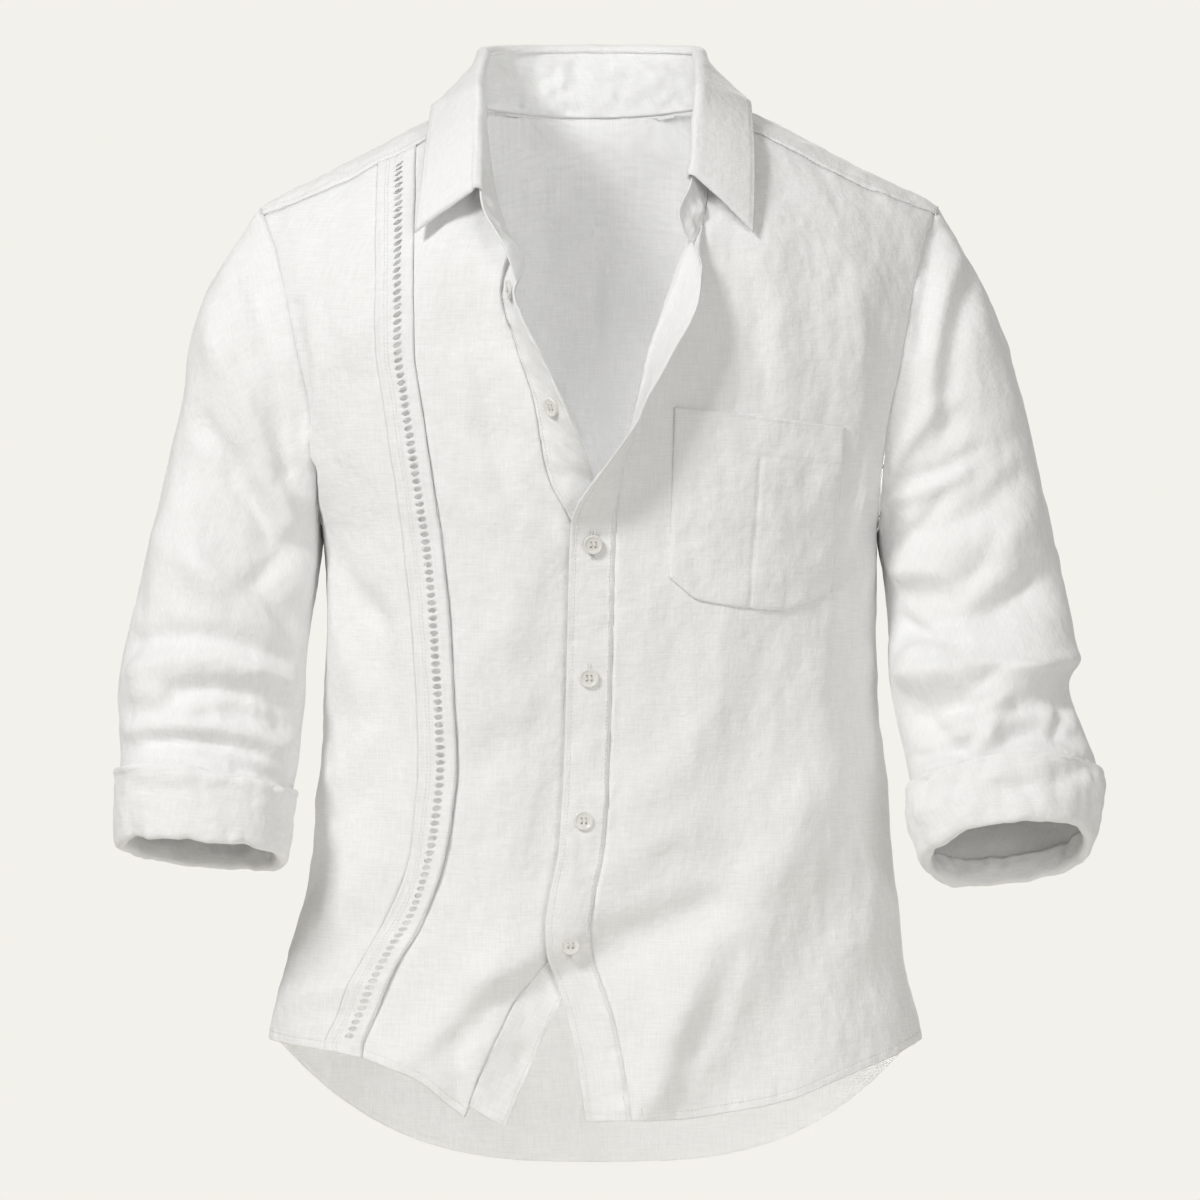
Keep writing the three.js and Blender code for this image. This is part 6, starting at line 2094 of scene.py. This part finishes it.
@dataclass
class ChestPocket:
    """The patch pocket, with its deep hem and the seam of its pen slot."""

    front: bpy.types.Object
    columns: int = 76
    rows: int = 84
    proud: float = 2.1
    hem: float = 27.0
    slot_at: float = 0.5
    slot_lean: float = 0.03
    width: float = 118.0
    smoothings: int = 6

    def surface_at(self, x: Array, z: Array) -> Array:
        """Returns the front's points over places seen from ahead.

        Args:
            x: Places across.
            z: Their heights.

        Returns:
            The points.
        """
        points = np.zeros((*x.shape, 3))
        for index in np.ndindex(x.shape):
            origin = Vector((x[index] * MM, RAY_START, z[index] * MM))
            hit, place = self.front.ray_cast(origin, Vector((0, 1, 0)))[:2]
            points[index] = np.array(place) / MM if hit else (x[index], CHEST_FRONT, z[index])
        return points

    def panel(self) -> Panel:
        """Returns the pocket's grid, from its foot up.

        Returns:
            The grid with its relief.
        """
        foot = Track(POCKET_FOOT, "along", "z")
        u = np.linspace(0, 1, self.columns + 1)[None]
        v = np.linspace(0, 1, self.rows + 1)[:, None]
        inner = mix(POCKET_SIDES["inner"][0], POCKET_SIDES["inner"][1], v)
        outer = mix(POCKET_SIDES["outer"][0], POCKET_SIDES["outer"][1], v)
        x = mix(inner, outer, u)
        top = mix(POCKET_TOP[0], POCKET_TOP[1], u)
        z = mix(foot(u), top, v)
        x, z = np.broadcast_arrays(x, z)
        points = self.surface_at(x, z)
        depth = points[..., 1]
        for _ in range(self.smoothings):
            around = depth[:-2, 1:-1] + depth[2:, 1:-1] + depth[1:-1, :-2] + depth[1:-1, 2:]
            depth[1:-1, 1:-1] = around / 4
        panel = Panel("pocket", "pocket", points)
        panel.flat = panel.places()
        panel.normals = panel.grid_normals()
        rim = np.minimum(away(panel, Edge.FIRST), away(panel, Edge.LAST))
        rim = np.minimum(rim, away(panel, Edge.HEM))
        down = away(panel, Edge.TOP)
        relief = (self.proud + 0.55 * crumple(points * 1.3)) * mix(0.45, 1, smooth(rim / 2.0))
        relief = relief - 0.45 * np.exp(-(((rim - 2.2) / 0.9) ** 2))
        relief += 0.4 * smooth((self.hem - down) / 1.2 + 0.5)
        relief -= 0.6 * np.exp(-(((down - self.hem + 1) / 1.0) ** 2))
        slot = np.abs(u - self.slot_at - self.slot_lean * (v - 0.5)) * self.width
        relief -= 1.1 * np.exp(-((slot / 1.3) ** 2)) * (down > self.hem)
        relief += 0.9 * smooth((down < 1.2) * 1.0) * np.exp(-(((u - 0.5) / 0.3) ** 2))
        panel.rows = points + panel.normals * relief[..., None]
        panel.normals = panel.grid_normals()
        return panel


# ---- buttons and thread


@dataclass
class ShirtButton:
    """A four-hole button in the place of its solid."""

    node: str
    finishes: Finishes
    radius: float = 6.5
    height: float = 2.2
    dish: float = 4.4
    hole: float = 0.75
    hole_out: float = 1.55

    def axis(self) -> tuple[Vector, Vector]:
        """Returns the solid's centre and the direction in which it faces.

        Returns:
            The centre and the direction.
        """
        mesh = bpy.data.objects[self.node].data
        points = np.array([v.co for v in mesh.vertices])
        centre = points.mean(axis=0)
        _, _, ways = np.linalg.svd(points - centre, full_matrices=False)
        normal = ways[2] if ways[2][1] < 0 else -ways[2]
        return Vector(centre), Vector(normal)

    def make(self) -> bpy.types.Object:
        """Turns a disc into the button: rim, dish and holes.

        Returns:
            The button.
        """
        bpy.ops.object.select_all(action="DESELECT")
        bpy.ops.mesh.primitive_cylinder_add(
            vertices=48, radius=self.radius * MM, depth=self.height * MM
        )
        button = bpy.context.object
        button.name = f"{self.node}_shell"
        bpy.ops.object.mode_set(mode="EDIT")
        bpy.ops.mesh.select_all(action="DESELECT")
        bpy.ops.object.mode_set(mode="OBJECT")
        top = max(button.data.polygons, key=lambda face: face.center.z)
        top.select = True
        bpy.ops.object.mode_set(mode="EDIT")
        bpy.ops.mesh.select_mode(type="FACE")
        bpy.ops.mesh.inset(thickness=(self.radius - self.dish) * 0.55 * MM)
        bpy.ops.mesh.inset(thickness=(self.radius - self.dish) * 0.45 * MM)
        bpy.ops.transform.translate(value=(0, 0, -0.6 * MM))
        bpy.ops.object.mode_set(mode="OBJECT")
        rounded = button.modifiers.new("rounded", "BEVEL")
        rounded.width = 0.45 * MM
        rounded.segments = 3
        rounded.limit_method = "ANGLE"
        bpy.ops.object.modifier_apply(modifier=rounded.name)
        for x, y in ((1, 1), (1, -1), (-1, 1), (-1, -1)):
            self.bore(button, x * self.hole_out * MM, y * self.hole_out * MM)
        bpy.ops.object.select_all(action="DESELECT")
        button.select_set(True)
        bpy.context.view_layer.objects.active = button
        bpy.ops.object.shade_smooth_by_angle(angle=math.radians(40))
        centre, normal = self.axis()
        turn = normal.to_track_quat("Z", "Y").to_matrix().to_4x4()
        button.data.transform(Matrix.Translation(centre) @ turn)
        dress(button, self.finishes.shell)
        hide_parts(self.node)
        return button

    def bore(self, button: bpy.types.Object, x: float, y: float) -> None:
        """Bores one sewing hole through the button.

        Args:
            button: The button.
            x: The hole's place.
            y: Its place the other way.
        """
        bpy.ops.mesh.primitive_cylinder_add(
            vertices=12, radius=self.hole * MM, depth=0.01, location=(x, y, 0)
        )
        drill = bpy.context.object
        bpy.ops.object.select_all(action="DESELECT")
        button.select_set(True)
        bpy.context.view_layer.objects.active = button
        cut = button.modifiers.new("hole", "BOOLEAN")
        cut.operation = "DIFFERENCE"
        cut.object = drill
        cut.solver = "EXACT"
        bpy.ops.object.modifier_apply(modifier=cut.name)
        bpy.data.objects.remove(drill)

    def threads(self) -> tuple[Array, Array]:
        """Returns the starts and ends of the threads that cross the button.

        Returns:
            The starts and the ends.
        """
        centre, normal = self.axis()
        turn = normal.to_track_quat("Z", "Y").to_matrix()
        starts, ends = [], []
        for x in (-1, -0.86, 0.86, 1):
            for y, group in ((-1, starts), (1, ends)):
                local = Vector((x * self.hole_out, y * self.hole_out, self.height * 0.36)) * MM
                group.append(np.array(centre + turn @ local) / MM)
        return np.array(starts), np.array(ends)


@dataclass
class Thread:
    """Stitches as short rounded lengths of thread, a few dozen faces each."""

    radius: float = 0.32
    sides: int = 6
    rings: tuple[tuple[float, float, float], ...] = (  # place along, width and lift
        (0, 0.25, -0.3),
        (0.12, 0.85, 0.1),
        (0.5, 1, 0.35),
        (0.88, 0.85, 0.1),
        (1, 0.25, -0.3),
    )

    def lengths(self, starts: Array, ends: Array, normals: Array) -> tuple[Array, Array]:
        """Builds a rounded length between each start and end.

        Args:
            starts: Where the lengths start, in millimetres.
            ends: Where they end.
            normals: The cloth's outward normal at each.

        Returns:
            Points, and faces of four of them.
        """
        along = ends - starts
        normals = unit(normals - unit(along) * np.sum(normals * unit(along), -1, keepdims=True))
        across = np.cross(unit(along), normals)
        points = []
        for t, wide, lift in self.rings:
            for k in range(self.sides):
                angle = 2 * math.pi * k / self.sides
                offset = across * math.cos(angle) + normals * (math.sin(angle) + lift)
                points.append(starts + along * t + offset * self.radius * wide)
        rings = np.stack(points, axis=1)
        count, per = rings.shape[:2]
        base = np.arange(count)[:, None] * per
        faces = []
        for ring in range(4):
            for k in range(self.sides):
                following = (k + 1) % self.sides
                a, b = ring * self.sides + k, ring * self.sides + following
                faces.append([a, b, b + self.sides, a + self.sides])
        for start in (0, 4 * self.sides):
            ids = list(range(start, start + self.sides))
            order = ids[::-1] if start == 0 else ids
            faces.append([order[0], order[1], order[2], order[3]])
            faces.append([order[0], order[3], order[4], order[5]])
        faces = np.array(faces)[:, ::-1]
        return rings.reshape(-1, 3), (base[:, None] + faces[None]).reshape(-1, 4)

    def along(self, line: Array, normals: Array, pitch: float = 2.6) -> tuple[Array, Array, Array]:
        """Returns starts, ends and normals of the stitches along a line.

        Args:
            line: The line.
            normals: The normals along it.
            pitch: A stitch's length with its gap.

        Returns:
            The starts, ends and normals.
        """
        steps = np.linalg.norm(np.diff(line, axis=0), axis=1)
        reached = np.concatenate([[0], np.cumsum(steps)])
        count = max(1, int(reached[-1] // pitch))
        at = (np.arange(count) + 0.12) * pitch
        until = at + 0.74 * pitch
        pick = [np.interp(at, reached, line[:, k]) for k in range(3)]
        stop = [np.interp(until, reached, line[:, k]) for k in range(3)]
        lean = [np.interp(at, reached, normals[:, k]) for k in range(3)]
        return np.stack(pick, -1), np.stack(stop, -1), unit(np.stack(lean, -1))


def inset_line(panel: Panel, edge: Edge, off: float) -> tuple[Array, Array]:
    """Returns the line of points at a distance from an edge, and its normals.

    Args:
        panel: The panel.
        edge: The edge.
        off: The distance from it.

    Returns:
        The points and the normals along the line.
    """
    distance = away(panel, edge)
    points, normals = panel.rows, panel.normals
    if edge in (Edge.FIRST, Edge.LAST):
        distance = distance.T
        points, normals = points.transpose(1, 0, 2), normals.transpose(1, 0, 2)
    if edge in (Edge.TOP, Edge.LAST):
        distance, points, normals = distance[::-1], points[::-1], normals[::-1]
    i = np.clip(np.argmax(distance >= off, axis=0), 1, None)
    lines = np.arange(distance.shape[1])
    before, after = distance[i - 1, lines], distance[i, lines]
    share = ((off - before) / np.maximum(after - before, 1e-6))[:, None]
    line = mix(points[i - 1, lines], points[i, lines], share)
    return line, unit(mix(normals[i - 1, lines], normals[i, lines], share))


# Each piece's rows of stitches: a panel, the edge that the row follows and how far in.
STITCH_ROWS = {
    "front_left": [("front_left", Edge.HEM, 6.0)],
    "back": [("back", Edge.HEM, 6.0), ("shoulders", Edge.FIRST, 6.3), ("shoulders", Edge.LAST, 6.3)],
    "front_right_side": [("front_right_side", Edge.HEM, 6.0)],
    "front_right_centre": [("front_right_centre", Edge.HEM, 6.0)],
    "button_placket": [
        ("button_placket", Edge.FIRST, 4.0),
        ("button_placket", Edge.LAST, 4.2),
        ("button_placket", Edge.HEM, 5.0),
    ],
    "under_placket": [("under_placket", Edge.FIRST, 3.0), ("under_placket", Edge.LAST, 3.0)],
    "collar_stand": [("collar_stand", Edge.HEM, 4.0)],
    "ladder_trim": [("ladder_trim", Edge.FIRST, 7.0), ("ladder_trim", Edge.FIRST, 9.4)],
}


@dataclass
class Stitching:
    """The visible rows of stitches."""

    shirt: Shirt
    thread: Thread = field(default_factory=Thread)

    def rows(self, name: str, lines: Sequence[tuple[Array, Array]]) -> bpy.types.Object:
        """Makes the stitches of one piece as one object.

        Args:
            name: The piece.
            lines: The points and normals of each row.

        Returns:
            The stitches.
        """
        parts = [self.thread.along(line, lean) for line, lean in lines]
        starts, ends, normals = (np.concatenate([part[k] for part in parts]) for k in range(3))
        points, faces = self.thread.lengths(starts, ends, normals)
        obj = make_mesh(f"{name}_stitches", points, faces)
        return dress(obj, self.shirt.finishes.thread)

    def fasten(self, buttons: Sequence["ShirtButton"]) -> None:
        """Sews on the buttons, and works a buttonhole over those that are done up.

        Args:
            buttons: The buttons, from the top.
        """
        for button in buttons:
            starts, ends = button.threads()
            centre, facing = button.axis()
            lean = np.tile(np.array(facing), (len(starts), 1))
            parts = [self.thread.lengths(starts, ends, lean)]
            if button.node not in ("button_1", "button_2"):
                parts.append(self.buttonhole(np.array(centre) / MM, np.array(facing)))
            points = np.concatenate([part[0] for part in parts])
            shift = len(parts[0][0])
            faces = np.concatenate([part[1] + shift * i for i, part in enumerate(parts)])
            obj = make_mesh(f"{button.node}_thread", points, faces)
            dress(obj, self.shirt.finishes.thread)

    def buttonhole(self, centre: Array, facing: Array) -> tuple[Array, Array]:
        """Returns the close stitches of an upright buttonhole round a button.

        Args:
            centre: The button's centre.
            facing: The way it faces.

        Returns:
            The points and faces.
        """
        up = unit(np.cross(facing, np.cross((0.0, 0.0, 1.0), facing)))
        side = np.cross(facing, up)
        rows = np.linspace(-9.5, 9.5, 30)
        spots = [centre - facing * 1.35 + up * z + side * 1.5 * k for k in (-1, 1) for z in rows]
        starts = np.array(spots)
        ends = starts - np.sign((starts - centre) @ side)[:, None] * side * 1.1
        return self.thread.lengths(starts, ends, np.tile(facing, (len(starts), 1)))

    def sew(self) -> dict[str, bpy.types.Object]:
        """Makes the stitches of every piece, by the piece's name.

        Returns:
            The stitches.
        """
        panels = self.shirt.panels
        return {
            name: self.rows(name, [inset_line(panels[panel], edge, off) for panel, edge, off in rows])
            for name, rows in STITCH_ROWS.items()
        }


# ---- the studio


@dataclass
class Studio:
    """Floor, lights and camera."""

    floor_z: float = -0.88
    lens: float = 150.0
    sensor: float = 36.0
    eye: tuple[float, float, float] = (0.0035, -3.5, -0.3395)
    backdrop: str = "#f3f1eb"
    fill: float = 0.4

    def floor(self, finish: str = "pale_floor") -> None:
        """Makes the plain pale floor.

        Args:
            finish: The name of the floor's finish.
        """
        bpy.ops.object.select_all(action="DESELECT")
        bpy.ops.mesh.primitive_plane_add(size=1.5, location=(0, 0, self.floor_z))
        floor = bpy.context.object
        floor.name = "studio_floor"
        material, tree, shader = new_material(finish)
        set_up(tree, shader, Base_Color=linear(self.backdrop), Roughness=0.9)
        floor.data.materials.append(material)

    def world(self) -> None:
        """Gives the surroundings their even pale light."""
        world = bpy.data.worlds.new("studio")
        world.use_nodes = True
        tree = world.node_tree
        background = tree.nodes["Background"]
        background.inputs["Color"].default_value = linear(self.backdrop)
        seen = add_node(tree, "LightPath").outputs["Is Camera Ray"]
        strength = add_node(tree, "MapRange", Value=seen)
        strength.inputs["To Min"].default_value = self.fill
        tree.links.new(strength.outputs[0], background.inputs["Strength"])
        bpy.context.scene.world = world

    def lamp(self, name: str, place: Sequence[float], size: float, power: float) -> bpy.types.Object:
        """Adds a soft lamp that faces the middle of the shirt.

        Args:
            name: The lamp's name.
            place: Where it stands.
            size: The side of its square face.
            power: Its power in watts.

        Returns:
            The lamp.
        """
        data = bpy.data.lights.new(name, "AREA")
        data.size = size
        data.energy = power
        lamp = bpy.data.objects.new(name, data)
        lamp.location = place
        lamp.rotation_mode = "QUATERNION"
        aim = Vector((0, 0, -0.34)) - Vector(place)
        lamp.rotation_quaternion = aim.to_track_quat("-Z", "Y")
        bpy.context.scene.collection.objects.link(lamp)
        return lamp

    def glow(self, name: str, place: Sequence[float], size: tuple[float, float], power: float) -> None:
        """Adds light that comes through the thin cloth and fills its inside.

        Args:
            name: The lamp's name.
            place: Its place inside the shirt, from where it faces the back.
            size: Its width and height.
            power: Its power in watts.
        """
        lamp = self.lamp(name, place, size[0], power)
        lamp.data.shape = "RECTANGLE"
        lamp.data.size_y = size[1]
        lamp.data.spread = math.radians(95)
        lamp.rotation_mode = "XYZ"
        lamp.rotation_euler = (math.radians(-90), 0, 0)
        lamp.visible_camera = False

    def camera(self) -> None:
        """Adds the level camera before the chest."""
        data = bpy.data.cameras.new("camera")
        data.lens = self.lens
        data.sensor_width = self.sensor
        camera = bpy.data.objects.new("camera", data)
        camera.location = self.eye
        camera.rotation_euler = (math.radians(90), 0, 0)
        bpy.context.scene.collection.objects.link(camera)
        bpy.context.scene.camera = camera

    def build(self) -> None:
        """Sets up the studio."""
        bpy.context.scene.view_settings.view_transform = "Standard"
        self.floor()
        self.world()
        self.lamp("upper_left_softbox", (-1.9, -2.1, 1.7), 0.8, 63.0)
        self.lamp("right_front_fill", (1.7, -3.8, 0.3), 1.6, 33.0)
        self.lamp("back_fill", (0.8, 3.4, 0.9), 1.6, 62.0)
        self.glow("light_through_chest", (0.16, -0.06, -0.26), (0.08, 0.2), 0.3)
        self.glow("light_through_hem", (0.03, -0.05, -0.66), (0.34, 0.06), 0.24)
        self.camera()


def main() -> None:
    """Builds the studio and the shirt, and reports each piece."""
    logging.basicConfig(level=logging.INFO, format="%(name)s: %(message)s")
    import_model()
    Studio().build()
    shirt = Shirt(Finishes.make())
    shirt.lay_out()
    shirt.sew_body()
    shirt.ladder()
    shirt.collar()
    shirt.cuffs()
    shirt.pocket()
    buttons = [ShirtButton(f"button_{i}", shirt.finishes) for i in range(1, 7)]
    for button in buttons:
        button.make()
        LOG.info("button %s", button.node)
    stitching = Stitching(shirt)
    stitching.fasten(buttons)
    stitches = stitching.sew()


if __name__ == "__main__":
    main()
